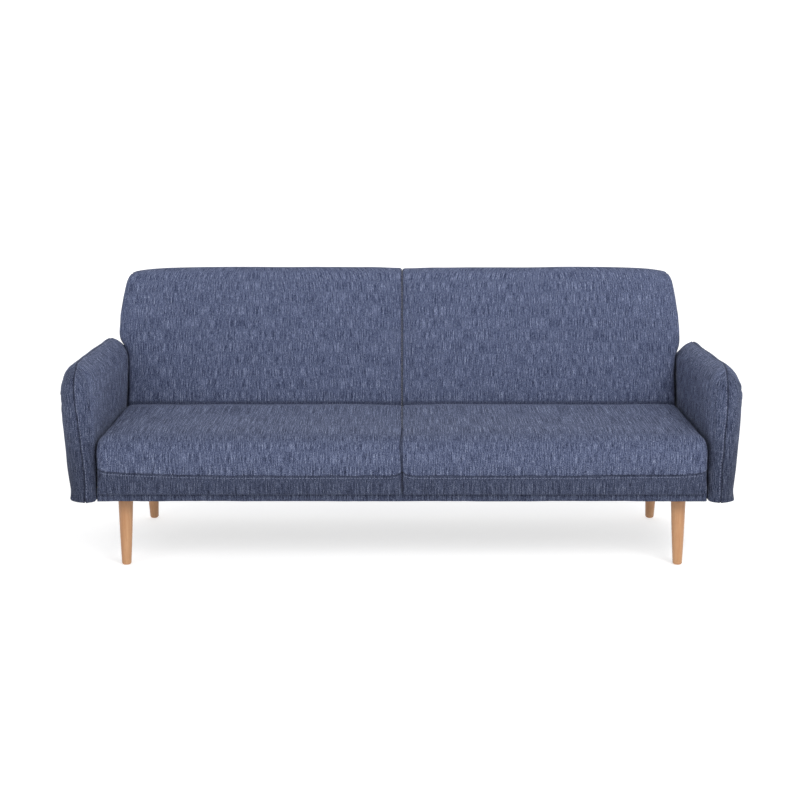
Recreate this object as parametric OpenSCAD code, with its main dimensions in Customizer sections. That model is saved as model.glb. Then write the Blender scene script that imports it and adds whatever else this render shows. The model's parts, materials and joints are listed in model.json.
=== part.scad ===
// Click-clack futon sofa bed with a split back, padded side arms and four round tapered legs.
// Millimetres, +Z up, the front faces -Y. Left (-X) and right (+X) are as seen from the front.
// Origin: on the floor, below the middle of the overall footprint.

/* [Seat] */
// Half of the seat width, centre to outer side
seat_half_w = 887; // [800:1:960]
// Seat depth, front face to rear face
seat_depth = 512; // [490:1:530]
// Height of the seat surface above the floor
seat_top = 404; // [402:1:420]
// Half of the gap between the two seat cushions and between the two backs
half_gap = 1.5; // [1:0.1:3]
// Thickness of the fabric with its lining
cover_t = 2; // [1.6:0.1:2.4]

/* [Back] */
// Recline of the upright back, degrees from vertical
back_recline = 15; // [12:0.5:18]
// Length of the back above the pivot, along its slope
back_len = 490; // [470:1:520]
// How far the back's upper ears pass the seat's side
ear_w = 26; // [22:1:45]

/* [Arms] */
// Height of the arm's top ridge
arm_top = 617; // [590:1:622]
// Arm thickness, inner to outer face
arm_w = 99; // [96:1:120]
// Height of the arm's underside
arm_bottom = 210; // [209:1:212]

/* [Legs] */
// Leg diameter at the rail
leg_top_d = 44; // [38:1:48]
// Leg diameter just above the rounded foot
leg_foot_d = 28; // [24:1:34]
// Forward splay of the front legs in degrees
front_splay = 5; // [0:0.5:7]
// Rearward splay of the rear legs in degrees
rear_splay = 8; // [0:0.5:10]

/* [Hinges] */
// Diameter of the hinge pin
pin_d = 10; // [8:0.5:12]
// Radial running clearance of the pin in its plates
pin_clear = 0.05; // [0.02:0.01:0.1]
// Thickness of the hinge plates
plate_t = 3; // [2.5:0.1:3]

/* [Suspension] */
// Sinuous springs in each seat half
spring_count = 4; // [3:1:5]
// Webbing straps in each back half
strap_count = 3; // [2:1:4]

/* [Hidden] */
c = cover_t;
f = cover_t + 0.3;
rail_bot = 208;
rail_top = 250;
rail_out = seat_half_w + 1.5;
rail_in = rail_out - 42;
py = seat_depth + 73;
pz = seat_top - 57;
leg_x = seat_half_w - 68;
leg_xr = seat_half_w - 61;
leg_yf = 92;
leg_yr = py + 17;
arm_in = seat_half_w + 6;
arm_out = arm_in + arm_w;
arm_seam = arm_in + arm_w / 2;
arm_back = seat_depth + 150;
back_n = seat_half_w - 3;
back_e = seat_half_w + ear_w;
stile_o = rail_in - plate_t - 0.5 - plate_t;
stile_i = 20 + plate_t + 0.5 + plate_t;
notch_o = stile_o - 10;
notch_i = stile_i + 7.5;
y_off = (-4 + py + (back_len - 34) * sin(back_recline) + 46 * cos(back_recline) + 34) / 2;
spring_p = 30;
fabric_col = [0.27, 0.33, 0.45];
foam_col = [0.86, 0.83, 0.72];
beech_col = [0.80, 0.66, 0.47];
pine_col = [0.78, 0.63, 0.42];
ply_col = [0.70, 0.55, 0.36];
steel_col = [0.62, 0.63, 0.65];
spring_col = [0.35, 0.36, 0.38];
black_col = [0.10, 0.10, 0.11];
web_col = [0.52, 0.47, 0.36];

// points on an ellipse arc
function earc(cx, cy, rx, ry, a0, a1, n) =
  [for (i = [0:n]) let (a = a0 + (a1 - a0) * i / n) [cx + rx * cos(a), cy + ry * sin(a)]];
function arc(cx, cy, r, a0, a1, n) = earc(cx, cy, r, r, a0, a1, n);
function rest(v) = [for (i = [1:len(v) - 1]) v[i]];

// prisms along X, Y and Z
module yz(x0, x1, pts) translate([x0, 0, 0]) rotate([90, 0, 90]) linear_extrude(x1 - x0) polygon(pts);
module xz(y0, y1, pts) translate([0, y1, 0]) rotate([90, 0, 0]) linear_extrude(y1 - y0) polygon(pts);
module xy(z0, z1, pts) translate([0, 0, z0]) linear_extrude(z1 - z0) polygon(pts);
module box(x0, x1, y0, y1, z0, z1) translate([x0, y0, z0]) cube([x1 - x0, y1 - y0, z1 - z0]);
module rod(x0, x1, y, z, r, n = 32) translate([x0, y, z]) rotate([0, 90, 0]) cylinder(h = x1 - x0, r = r, $fn = n);
// everything is laid out from the seat's front face, then centred
module base() translate([0, -y_off, 0]) children();
// back frame: local Z runs up the back, local Y points out of its rear
module back() translate([0, py - y_off, pz]) rotate([-back_recline, 0, 0]) children();
module left() mirror([1, 0, 0]) children();

// ---------- seat ----------
function seat_top_pts(t) = concat(
  arc(seat_depth - 24, seat_top - 27, 24 - t, 0, 90, 4), [[seat_depth / 2, seat_top - t]],
  arc(42, seat_top - 47, 42 - t, 90, 180, 6));
function seat_outer_side(t) = concat([[0, 226], [17.5, 226], [17.5, 250.5], [seat_depth, 250.5]], seat_top_pts(0));
function seat_cavity_side(t) = concat([[t, 226 + t], [17.5 - t, 226 + t], [17.5 - t, 252], [18.5, 252],
  [18.5, 240], [seat_depth - t, 240]], seat_top_pts(t));
function seat_foam_side(t) = concat([[t, 226 + t], [17.5 - t, 226 + t], [17.5 - t, 256.4], [seat_depth - t, 256.4]], seat_top_pts(t));
function seat_front(t) = concat([[half_gap + t, 200]], arc(half_gap + 16, seat_top - 24, 16 - t, 180, 90, 4),
  [[seat_half_w / 2, seat_top + 1 - t]], arc(seat_half_w - 18, seat_top - 28, 18 - t, 90, 0, 4), [[seat_half_w - t, 200]]);
function seat_plan(t) = concat([[half_gap + t, seat_depth + 5]], arc(half_gap + 8, 8, 8 - t, 180, 270, 3),
  arc(seat_half_w - 22, 22, 22 - t, 270, 360, 5), [[seat_half_w - t, seat_depth + 5]]);
module seat_form(t, side) intersection() {
  yz(half_gap + t - 1, seat_half_w - t + 1, side);
  xz(-2, seat_depth + 4, seat_front(t));
  xy(205, seat_top + 5, seat_plan(t));
}
module seat_cover() base() difference() {
  seat_form(0, seat_outer_side(0));
  seat_form(c, seat_cavity_side(c));
}
module seat_foam() base() seat_form(f, seat_foam_side(f));

// one sinuous spring lying flat, bars along X
module sinuous(n, amp, w, h) linear_extrude(h) {
  for (i = [0:n]) translate([-amp, i * spring_p - w / 2]) square([2 * amp, w]);
  for (i = [0:n - 1]) translate([i % 2 == 0 ? amp : -amp, (i + 0.5) * spring_p]) mirror([i % 2, 0])
    difference() {
      circle(r = (spring_p + w) / 2, $fn = 8);
      circle(r = (spring_p - w) / 2, $fn = 8);
      translate([-spring_p, -spring_p]) square([spring_p, 2 * spring_p]);
    }
}
spring_n = floor((seat_depth - 42) / spring_p);
spring_y0 = 40;
spring_y1 = spring_y0 + spring_n * spring_p;
function spring_x(i) = 60 + (seat_half_w - 110) * (i + 0.5) / spring_count;
module seat_springs() base() for (i = [0:spring_count - 1])
  translate([spring_x(i), spring_y0, rail_top + 1.4]) sinuous(spring_n, 20, 3.6, 3.6);
module clip(x, y) difference() {
  box(x - 8, x + 8, y - 7, y + 7, rail_top, rail_top + 6.2);
  box(x - 9, x + 9, y - 2.1, y + 2.1, rail_top + 1.1, rail_top + 5.3);
}
module spring_clips() color(steel_col) base() for (s = [-1, 1], i = [0:spring_count - 1]) {
  clip(s * spring_x(i), spring_y0);
  clip(s * spring_x(i), spring_y1);
}

// ---------- base frame ----------
screw_y = [py - 44, py - 24];
module front_rail() color(pine_col) base() box(-rail_in + 0.3, rail_in - 0.3, 20, 60, rail_bot, rail_top);
module rear_rail() color(pine_col) base() box(-rail_in + 0.3, rail_in - 0.3, py + 50, py + 90, rail_bot, rail_top);
module spring_rails() color(pine_col) base() for (s = [-1, 1])
  box(s > 0 ? 20.3 : -rail_in + 0.3, s > 0 ? rail_in - 0.3 : -20.3, spring_y1 - 20, spring_y1 + 16, rail_bot, rail_top);
module side_rail() base() difference() {
  box(rail_in, rail_out, 20, py + 90, rail_bot, rail_top);
  for (y = [160, 440]) rod(rail_in - 1, rail_out + 1, y, 232, 4.3, 24);
  for (y = screw_y) rod(rail_in - 1, rail_in + 24, y, 231, 2.1, 16);
}
module centre_rail() color(pine_col) base() difference() {
  box(-20, 20, 60.3, py + 49.7, rail_bot, rail_top);
  for (s = [-1, 1], y = screw_y) rod(s > 0 ? 3 : -21, s > 0 ? 21 : -3, y, 231, 2.1, 16);
}
// leg axis: origin at the leg's top centre under the rail
module leg_axis(rear) translate([rear ? leg_xr : leg_x, rear ? leg_yr : leg_yf, rail_bot]) rotate([rear ? rear_splay : -front_splay, 0, 0]) children();
module corner_block(rear) difference() {
  if (rear) box(leg_x - 40, rail_in - plate_t - 0.3, py - 15, py + 49.7, rail_bot, rail_top);
  else box(leg_x - 40, rail_in - 0.3, 60.3, 125, rail_bot, rail_top);
  leg_axis(rear) translate([0, 0, -4]) cylinder(h = 60, r = 5.5, $fn = 32);
  leg_axis(rear) translate([0, 0, 35.8]) cylinder(h = 20, r = 11.3, $fn = 32);
}
module corner_blocks() color(pine_col) base() for (s = [0, 1], r = [false, true]) mirror([s, 0, 0]) corner_block(r);
module front_rail_cover() color(fabric_col) base()
  yz(-rail_out, rail_out, [[18.2, 206.2], [62, 206.2], [62, 208], [20, 208], [20, 250], [18.2, 250]]);
module rear_rail_cover() color(fabric_col) base() {
  yz(-rail_out, rail_out, [[py + 91.8, 206.2], [py + 91.8, 250], [py + 90, 250], [py + 90, 208], [py + 48, 208], [py + 48, 206.2]]);
  for (s = [0, 1]) mirror([s, 0, 0]) box(rail_out, rail_out + 1.8, arm_back + 4, py + 89.8, 206.2, 250);
}
module dust_cover() color(black_col) base() difference() {
  box(-rail_out, rail_out, 62.4, py + 47.6, 206.4, 208);
  for (s = [0, 1]) mirror([s, 0, 0]) {
    box(leg_x - 32, leg_x + 32, leg_yf - 33, leg_yf + 32, 200, 210);
    box(leg_xr - 32, leg_xr + 32, leg_yr - 32, leg_yr + 33, 200, 210);
  }
}

// ---------- legs ----------
module leg(rear) color(beech_col) base() difference() {
  intersection() {
    leg_axis(rear) let (L = rail_bot / cos(rear ? rear_splay : front_splay)) rotate_extrude($fn = 48) polygon([
      [0, -L - 2], [leg_foot_d / 2 - 4, -L - 2], [leg_foot_d / 2 - 1.6, -L + 0.6], [leg_foot_d / 2 - 0.5, -L + 3.4],
      [leg_foot_d / 2, -L + 7], [leg_top_d / 2, 0], [leg_top_d / 2, 6], [0, 6]]);
    translate([-3000, -3000, 0]) cube([6000, 6000, rail_bot]);
  }
  leg_axis(rear) translate([0, 0, -38]) cylinder(h = 60, r = 4.15, $fn = 24);
}
module leg_bolts() color(steel_col) base() for (s = [0, 1], r = [false, true]) mirror([s, 0, 0])
  leg_axis(r) translate([0, 0, -35]) cylinder(h = 70, r = 4, $fn = 24);
module leg_nuts() color(steel_col) base() for (s = [0, 1], r = [false, true]) mirror([s, 0, 0])
  leg_axis(r) rotate_extrude($fn = 32) polygon([[4.15, 20], [5.3, 20], [5.3, 36], [11, 36], [11, 37.6], [4.15, 37.6]]);

// ---------- arms ----------
function arm_yz(t) = concat(
  arc(arm_back - 20, arm_bottom + 20, 20 - t, -90, 0, 3), arc(arm_back - 60, arm_top - 60, 60 - t, 0, 90, 6),
  arc(81, arm_top - 85, 85 - t, 90, 180, 7), arc(16, arm_bottom + 20, 20 - t, 180, 270, 3));
function arm_xz(t) = concat([[arm_in + t, 200]], earc(arm_seam, arm_top - 72, arm_w / 2 - t, 72 - t, 180, 90, 6),
  rest(earc(arm_seam, arm_top - 85, arm_w / 2 - t, 85 - t, 90, 0, 7)), [[arm_out - 10 - t, 200]]);
function arm_plan(t) = concat(earc(arm_seam, 34, arm_w / 2 - t, 38 - t, 180, 270, 5),
  rest(earc(arm_seam, 40, arm_w / 2 - t, 44 - t, 270, 360, 6)),
  arc(arm_out - 25, arm_back - 25, 25 - t, 0, 90, 4), arc(arm_in + 25, arm_back - 25, 25 - t, 90, 180, 4));
module arm_form(t) intersection() {
  yz(arm_in - 5, arm_out + 5, arm_yz(t));
  xz(-10, arm_back + 10, arm_xz(t));
  xy(205, arm_top + 5, arm_plan(t));
}
frame_x0 = arm_seam - 20;
frame_x1 = arm_seam + 20;
frame_top = arm_top - 77;
frame_back = arm_back - 42;
spacer_y = [160, 440];
module spacers(g) for (y = spacer_y) box(rail_out + 0.3 - 4 * g, frame_x0 - 0.3 + g, y - 30 - g, y + 30 + g, 214 - 9 * g, 250 + g);
module arm_frame() base() difference() {
  union() {
    box(frame_x0, frame_x1, 40, frame_back, 214, 254);
    box(frame_x0, frame_x1, 40, frame_back, frame_top - 40, frame_top);
    box(frame_x0, frame_x1, 40, 80, 254.3, frame_top - 40.3);
    box(frame_x0, frame_x1, frame_back - 40, frame_back, 254.3, frame_top - 40.3);
    spacers(0);
  }
  for (y = spacer_y) rod(rail_out - 5, frame_x1 + 5, y, 232, 4.3, 24);
}
module arm_foam() base() difference() {
  arm_form(f);
  box(frame_x0 - 0.4, frame_x1 + 0.4, 39.6, frame_back + 0.4, 190, frame_top + 0.4);
  spacers(1);
}
module arm_cover_inner() base() difference() {
  intersection() {
    arm_form(0);
    box(arm_in - 5, arm_seam - 0.2, -20, arm_back + 20, 190, arm_top + 10);
  }
  arm_form(c);
  spacers(1);
}
module arm_cover_outer() base() difference() {
  intersection() {
    arm_form(0);
    box(arm_seam + 0.2, arm_out + 5, -20, arm_back + 20, 190, arm_top + 10);
  }
  arm_form(c);
}
module arm_bolts() color(steel_col) base() for (s = [0, 1], y = spacer_y) mirror([s, 0, 0]) {
  rod(rail_in - 5.4, rail_in - 0.1, y, 232, 7.5, 6);
  rod(rail_in - 0.2, frame_x1 - 4, y, 232, 4, 24);
}

// ---------- hinges ----------
module base_plate(x0) base() difference() {
  union() {
    yz(x0, x0 + plate_t, [[py - 53, 212], [py + 23, 212], [py + 23, pz], [py - 23, pz], [py - 23, 264], [py - 53, 248]]);
    rod(x0, x0 + plate_t, py, pz, 25, 48);
  }
  rod(x0 - 1, x0 + plate_t + 1, py, pz, pin_d / 2 + pin_clear, 48);
  for (y = screw_y) rod(x0 - 1, x0 + plate_t + 1, y, 231, 2.3, 16);
}
module back_plate(x0) back() difference() {
  union() {
    yz(x0, x0 + plate_t, [[0, -23], [68, -23], [76, -15], [76, 205], [36, 205], [36, 24], [0, 24]]);
    rod(x0, x0 + plate_t, 0, 0, 25, 48);
  }
  rod(x0 - 1, x0 + plate_t + 1, 0, 0, pin_d / 2 + pin_clear, 48);
  for (s = [80, 180]) rod(x0 - 1, x0 + plate_t + 1, 56, s, 2.3, 16);
}
// pin along +X: x0 is the face beside the base plate, x1 the face beside the back plate
module pin(x0, x1) {
  rod(x0 - 3, x0, py, pz, pin_d / 2 + 3, 32);
  rod(x0 - 1, x1 + 1, py, pz, pin_d / 2, 48);
  rod(x1, x1 + 4, py, pz, pin_d / 2 + 3, 32);
}
module hinge_pins() color(steel_col) base() for (s = [0, 1]) mirror([s, 0, 0]) {
  pin(20, stile_i + 0.4);
  translate([2 * rail_in, 0, 0]) mirror([1, 0, 0]) pin(rail_in, 2 * rail_in - stile_o + 0.4);
}
module screw(x0, dir, y, z, len) {
  if (dir > 0) { rod(x0 - 2.6, x0, y, z, 4.5, 16); rod(x0 - 0.5, x0 + len, y, z, 2, 16); }
  else { rod(x0, x0 + 2.6, y, z, 4.5, 16); rod(x0 - len, x0 + 0.5, y, z, 2, 16); }
}
module hinge_base_screws() color(steel_col) base() for (s = [0, 1], y = screw_y) mirror([s, 0, 0]) {
  screw(rail_in - plate_t, 1, y, 231, 24);
  screw(20 + plate_t, -1, y, 231, 18);
}

// ---------- backs ----------
S = back_len;
// the front swells towards the seat, where the lumbar padding is thickest
function back_side_pts(t) = concat(
  arc(-20, S - 30, 30 - t, 90, 180, 4), [[-53 + t, 330], [-58 + t, 200], [-65 + t, 90], [-67 + t, 45], [-62 + t, 5]],
  arc(-10, -25, 40 - t, 180, 270, 5), arc(50, -35, 30 - t, 270, 360, 4));
function back_side(t) = concat(back_side_pts(t), arc(46, S - 34, 34 - t, 0, 90, 4));
function back_cavity(t) = concat(back_side_pts(t), [[84, -33], [84, S - 36]], arc(46, S - 34, 34 - t, 0, 90, 4));
function back_front(t) = concat([[half_gap + t, -70], [back_n - t, -70], [back_n - t, 264],
  [back_n + 10 - t, 281], [back_e - 14 - t, 287 + t], [back_e - t, 305 + t]],
  arc(back_e - 24, S - 24, 24 - t, 0, 90, 5), [[back_e / 2, S + 1 - t]], arc(half_gap + 12, S - 12, 12 - t, 90, 180, 3));
module back_notch(t) {
  box(-5, notch_i + t, -28 - t, 100, -90, 28 + t);
  box(notch_o - t, back_n + 20, -28 - t, 100, -90, 28 + t);
}
module back_form(t, side) difference() {
  intersection() {
    yz(half_gap + t - 1, back_e - t + 1, side);
    xz(-75, 90, back_front(t));
  }
  back_notch(t);
}
function strap_s(i) = 60 + (S - 110) * (i + 0.5) / strap_count;
module straps(g) for (i = [0:strap_count - 1])
  box(stile_i + 0.5 - g, stile_o - 0.5 + g, 32.8 - g, 34.8 + g, strap_s(i) - 25 - g, strap_s(i) + 25 + g);
module back_cover() back() difference() {
  back_form(0, back_side(0));
  back_form(c, back_cavity(c));
  // the frame's stiles and plates pass through the walls of the hinge notches
  box(20 - 0.1, stile_i + 25.4, 34.6, 77.4, -21, 455.4);
  box(stile_o - 25.4, rail_in + 0.1, 34.6, 77.4, -21, 455.4);
}
module back_rear_panel() back() difference() {
  intersection() {
    xz(80 - c, 80, back_front(f));
    box(0, back_e + 5, 60, 90, -32.5, S - 36.5);
  }
  back_notch(f);
}
module back_foam() back() difference() {
  intersection() {
    back_form(f, back_side(f));
    box(0, back_e + 5, -75, 80 - f, -80, S + 5);
  }
  // channels for the frame, plates and webbing
  box(20 - 0.1, stile_i + 25.5, 34.5, 90, -21, 455.5);
  box(stile_o - 25.5, rail_in + 0.1, 34.5, 90, -21, 455.5);
  box(stile_i + 20, stile_o - 20, 34.5, 90, -18.5, 22.5);
  box(stile_i + 20, stile_o - 20, 34.5, 90, 414.5, 455.5);
  straps(0.4);
  // the foam is glued up from a front layer, a core, two side strips and an ear block
  box(back_n + 1, back_n + 1.3, -80, 100, -90, S + 10);
  box(0, back_n + 1.1, -28.3, -28, -90, S + 10);
  box(notch_i + f, notch_i + f + 0.3, -28.1, 100, 0, S + 10);
  box(notch_o - f - 0.3, notch_o - f, -28.1, 100, 0, S + 10);
}
module back_stiles() back() difference() {
  union() {
    box(stile_i, stile_i + 25, 35, 77, -20, 455);
    box(stile_o - 25, stile_o, 35, 77, -20, 455);
  }
  for (s = [80, 180]) { rod(stile_i - 1, stile_i + 20, 56, s, 2.1, 16); rod(stile_o - 20, stile_o + 1, 56, s, 2.1, 16); }
}
module back_rails() back() {
  box(stile_i + 25.3, stile_o - 25.3, 35, 77, -18, 22);
  box(stile_i + 25.3, stile_o - 25.3, 35, 77, 415, 455);
}
module back_webbing() back() straps(0);
module back_screws() back() for (s = [80, 180]) {
  screw(stile_i - plate_t, 1, 56, s, 20);
  screw(stile_o + plate_t, -1, 56, s, 20);
}

// ---------- one module per node, left is -X ----------
module side_rail_left() color(pine_col) left() side_rail();
module side_rail_right() color(pine_col) side_rail();
module seat_springs_left() color(spring_col) left() seat_springs();
module seat_springs_right() color(spring_col) seat_springs();
module seat_foam_left() color(foam_col) left() seat_foam();
module seat_foam_right() color(foam_col) seat_foam();
module seat_cover_left() color(fabric_col) left() seat_cover();
module seat_cover_right() color(fabric_col) seat_cover();
module arm_frame_left() color(pine_col) left() arm_frame();
module arm_frame_right() color(pine_col) arm_frame();
module arm_foam_left() color(foam_col) left() arm_foam();
module arm_foam_right() color(foam_col) arm_foam();
module arm_cover_inner_left() color(fabric_col) left() arm_cover_inner();
module arm_cover_inner_right() color(fabric_col) arm_cover_inner();
module arm_cover_outer_left() color(fabric_col) left() arm_cover_outer();
module arm_cover_outer_right() color(fabric_col) arm_cover_outer();
module leg_front_left() left() leg(false);
module leg_front_right() leg(false);
module leg_rear_left() left() leg(true);
module leg_rear_right() leg(true);
module hinge_base_plate_outer_left() color(steel_col) left() base_plate(rail_in - plate_t);
module hinge_base_plate_inner_left() color(steel_col) left() base_plate(20);
module hinge_base_plate_inner_right() color(steel_col) base_plate(20);
module hinge_base_plate_outer_right() color(steel_col) base_plate(rail_in - plate_t);
module back_rails_left() color(ply_col) left() back_rails();
module back_rails_right() color(ply_col) back_rails();
module back_stiles_left() color(ply_col) left() back_stiles();
module back_stiles_right() color(ply_col) back_stiles();
module back_webbing_left() color(web_col) left() back_webbing();
module back_webbing_right() color(web_col) back_webbing();
module back_foam_left() color(foam_col) left() back_foam();
module back_foam_right() color(foam_col) back_foam();
module back_cover_left() color(fabric_col) left() back_cover();
module back_cover_right() color(fabric_col) back_cover();
module back_rear_panel_left() color(fabric_col) left() back_rear_panel();
module back_rear_panel_right() color(fabric_col) back_rear_panel();
module hinge_back_plate_outer_left() color(steel_col) left() back_plate(stile_o);
module hinge_back_plate_outer_right() color(steel_col) back_plate(stile_o);
module hinge_back_plate_inner_left() color(steel_col) left() back_plate(stile_i - plate_t);
module hinge_back_plate_inner_right() color(steel_col) back_plate(stile_i - plate_t);
module hinge_back_screws_left() color(steel_col) left() back_screws();
module hinge_back_screws_right() color(steel_col) back_screws();

front_rail();
rear_rail();
spring_rails();
side_rail_left();
side_rail_right();
centre_rail();
corner_blocks();
front_rail_cover();
rear_rail_cover();
dust_cover();
seat_springs_left();
seat_springs_right();
spring_clips();
seat_foam_left();
seat_foam_right();
seat_cover_left();
seat_cover_right();
arm_frame_left();
arm_frame_right();
arm_foam_left();
arm_foam_right();
arm_cover_inner_left();
arm_cover_inner_right();
arm_cover_outer_left();
arm_cover_outer_right();
arm_bolts();
leg_front_left();
leg_front_right();
leg_rear_left();
leg_rear_right();
leg_bolts();
leg_nuts();
hinge_base_plate_outer_left();
hinge_base_plate_inner_left();
hinge_base_plate_inner_right();
hinge_base_plate_outer_right();
hinge_pins();
hinge_base_screws();
back_rails_left();
back_stiles_left();
back_webbing_left();
back_foam_left();
back_cover_left();
back_rear_panel_left();
hinge_back_plate_outer_left();
hinge_back_plate_inner_left();
hinge_back_screws_left();
back_rails_right();
back_stiles_right();
back_webbing_right();
back_foam_right();
back_cover_right();
back_rear_panel_right();
hinge_back_plate_outer_right();
hinge_back_plate_inner_right();
hinge_back_screws_right();
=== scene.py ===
import math
import json
import bpy
import numpy as np
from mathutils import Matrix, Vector
from mathutils.bvhtree import BVHTree


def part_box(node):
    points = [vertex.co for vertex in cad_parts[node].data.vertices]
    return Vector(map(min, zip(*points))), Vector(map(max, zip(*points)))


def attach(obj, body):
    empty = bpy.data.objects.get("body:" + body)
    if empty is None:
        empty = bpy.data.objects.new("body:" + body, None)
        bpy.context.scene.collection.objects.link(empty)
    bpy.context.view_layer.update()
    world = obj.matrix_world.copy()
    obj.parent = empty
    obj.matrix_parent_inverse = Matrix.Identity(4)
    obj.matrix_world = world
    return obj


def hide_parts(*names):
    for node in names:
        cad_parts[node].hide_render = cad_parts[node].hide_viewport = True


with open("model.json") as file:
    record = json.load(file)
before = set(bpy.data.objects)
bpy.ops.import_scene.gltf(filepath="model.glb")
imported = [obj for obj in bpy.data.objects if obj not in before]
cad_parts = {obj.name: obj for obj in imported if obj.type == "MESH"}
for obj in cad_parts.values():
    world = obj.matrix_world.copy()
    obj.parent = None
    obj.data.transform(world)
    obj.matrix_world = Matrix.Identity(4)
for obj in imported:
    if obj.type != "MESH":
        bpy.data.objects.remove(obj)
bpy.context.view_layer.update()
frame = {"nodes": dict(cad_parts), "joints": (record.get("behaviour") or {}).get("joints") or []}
scene = bpy.context.scene
scene.view_settings.view_transform = 'Standard'

# ---------------------------------------------------------------- measures from the frame
YO = -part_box("seat_cover_left")[0].y               # depth is counted from the seat's front face
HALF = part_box("seat_cover_right")[1].x              # seat half width
SEAT_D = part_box("seat_cover_right")[1].y + YO
SEAT_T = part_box("seat_cover_right")[1].z
ARM_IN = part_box("arm_cover_inner_right")[0].x
ARM_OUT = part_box("arm_cover_outer_right")[1].x
ARM_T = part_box("arm_cover_inner_right")[1].z
ARM_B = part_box("arm_cover_inner_right")[0].z
ARM_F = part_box("arm_cover_inner_right")[0].y + YO
ARM_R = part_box("arm_cover_inner_right")[1].y + YO
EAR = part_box("back_cover_right")[1].x
joint = [j for j in frame["joints"] if j["name"] == "back_right_recline"][0]
PIV = np.array(joint["pos_m"], float)
RECL = math.radians(15.0)
CS, SN = math.cos(RECL), math.sin(RECL)
S = 0.490                                          # length of the back up its own plane, as in the CAD


# ---------------------------------------------------------------- small maths
def rmax(a, b, r):
    return np.minimum(np.maximum(a, b), -r) + np.hypot(np.maximum(a + r, 0), np.maximum(b + r, 0))


def sstep(a, b, x):
    t = np.clip((x - a) / (b - a), 0, 1)
    return t * t * (3 - 2 * t)


def hashed(ix, iy, iz, seed):
    h = (ix * 374761393 + iy * 668265263 + iz * 974711 + seed * 1274126177) & 0xFFFFFFFF
    h = ((h ^ (h >> 13)) * 1274126177) & 0xFFFFFFFF
    h = ((h ^ (h >> 15)) * 668265263) & 0xFFFFFFFF
    h = h ^ (h >> 16)
    return h.astype(np.float64) / 4294967295.0 * 2 - 1


def noise(p, scale, seed=0):
    q = p / np.asarray(scale, float)
    i = np.floor(q).astype(np.int64)
    f = q - i
    w = f * f * f * (f * (f * 6 - 15) + 10)
    out = np.zeros(len(p))
    for dx in (0, 1):
        for dy in (0, 1):
            for dz in (0, 1):
                k = (w[:, 0] if dx else 1 - w[:, 0]) * (w[:, 1] if dy else 1 - w[:, 1]) * (w[:, 2] if dz else 1 - w[:, 2])
                out += k * hashed(i[:, 0] + dx, i[:, 1] + dy, i[:, 2] + dz, seed)
    return out


def unit(v):
    return v / np.maximum(np.linalg.norm(v, axis=1, keepdims=True), 1e-12)


def grad(f, p, e=4e-4):
    g = np.empty_like(p)
    for k in range(3):
        d = np.zeros(3)
        d[k] = e
        g[:, k] = (f(p + d) - f(p - d)) / (2 * e)
    return g


# ---------------------------------------------------------------- surface from a field
def nets(f, lo, hi, h):
    """Quads on the zero surface of f, one vertex per crossed cell, pulled onto the surface and evened out."""
    ax = [np.arange(lo[k] - 1.5 * h, hi[k] + 2.5 * h, h) for k in range(3)]
    g = np.stack(np.meshgrid(*ax, indexing="ij"), -1).reshape(-1, 3)
    v = f(g).reshape([len(a) for a in ax])
    n = np.array(v.shape) - 1
    acc = np.zeros((*n, 3))
    cnt = np.zeros(n)
    for axis in range(3):
        a, b = [k for k in range(3) if k != axis]
        for oa in (0, 1):
            for ob in (0, 1):
                s0 = [None] * 3
                s0[axis], s0[a], s0[b] = slice(0, n[axis]), slice(oa, oa + n[a]), slice(ob, ob + n[b])
                s1 = list(s0)
                s1[axis] = slice(1, n[axis] + 1)
                v0, v1 = v[tuple(s0)], v[tuple(s1)]
                cross = (v0 < 0) != (v1 < 0)
                t = np.where(cross, v0 / np.where(cross, v0 - v1, 1), 0)
                o = np.zeros((*n, 3))
                o[..., axis] = t
                o[..., a] = oa
                o[..., b] = ob
                acc += o * cross[..., None]
                cnt += cross
    on = cnt > 0
    idx = np.full(n, -1)
    idx[on] = np.arange(on.sum())
    cell = np.stack(np.nonzero(on), 1)
    pts = np.array([a[0] for a in ax]) + (cell + acc[on] / cnt[on][:, None]) * h
    quads = []
    for axis in range(3):
        a, b = (axis + 1) % 3, (axis + 2) % 3
        s0 = [slice(1, -1)] * 3
        s0[axis] = slice(0, -1)
        s1 = [slice(1, -1)] * 3
        s1[axis] = slice(1, None)
        v0, v1 = v[tuple(s0)] < 0, v[tuple(s1)] < 0
        e = np.stack(np.nonzero(v0 != v1), 1)
        first = v0[tuple(e.T)]
        base = e.copy()
        base[:, [a, b]] += 1

        def at(da, db):
            q = base.copy()
            q[:, a] -= da
            q[:, b] -= db
            return idx[tuple(q.T)]

        q = np.stack([at(1, 1), at(0, 1), at(0, 0), at(1, 0)], 1)
        q[~first] = q[~first][:, ::-1]
        quads.append(q)
    quads = np.concatenate(quads)
    quads = quads[(quads >= 0).all(1)]
    e = np.concatenate([quads[:, [0, 1]], quads[:, [1, 2]], quads[:, [2, 3]], quads[:, [3, 0]]])
    for _ in range(2):
        pts = pull(f, pts, h)
    for _ in range(4):
        m = np.zeros_like(pts)
        c = np.bincount(e[:, 0], minlength=len(pts)) + np.bincount(e[:, 1], minlength=len(pts))
        for k in range(3):
            m[:, k] = np.bincount(e[:, 0], pts[e[:, 1], k], len(pts)) + np.bincount(e[:, 1], pts[e[:, 0], k], len(pts))
        pts = pull(f, pts + 0.6 * (m / c[:, None] - pts), h)
    return pts, quads


def pull(f, p, h):
    g = grad(f, p)
    step = (f(p) / np.maximum((g * g).sum(1), 1e-9))[:, None] * g
    n = np.linalg.norm(step, axis=1, keepdims=True)
    return p - step * np.minimum(1, 0.8 * h / np.maximum(n, 1e-9))


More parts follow.
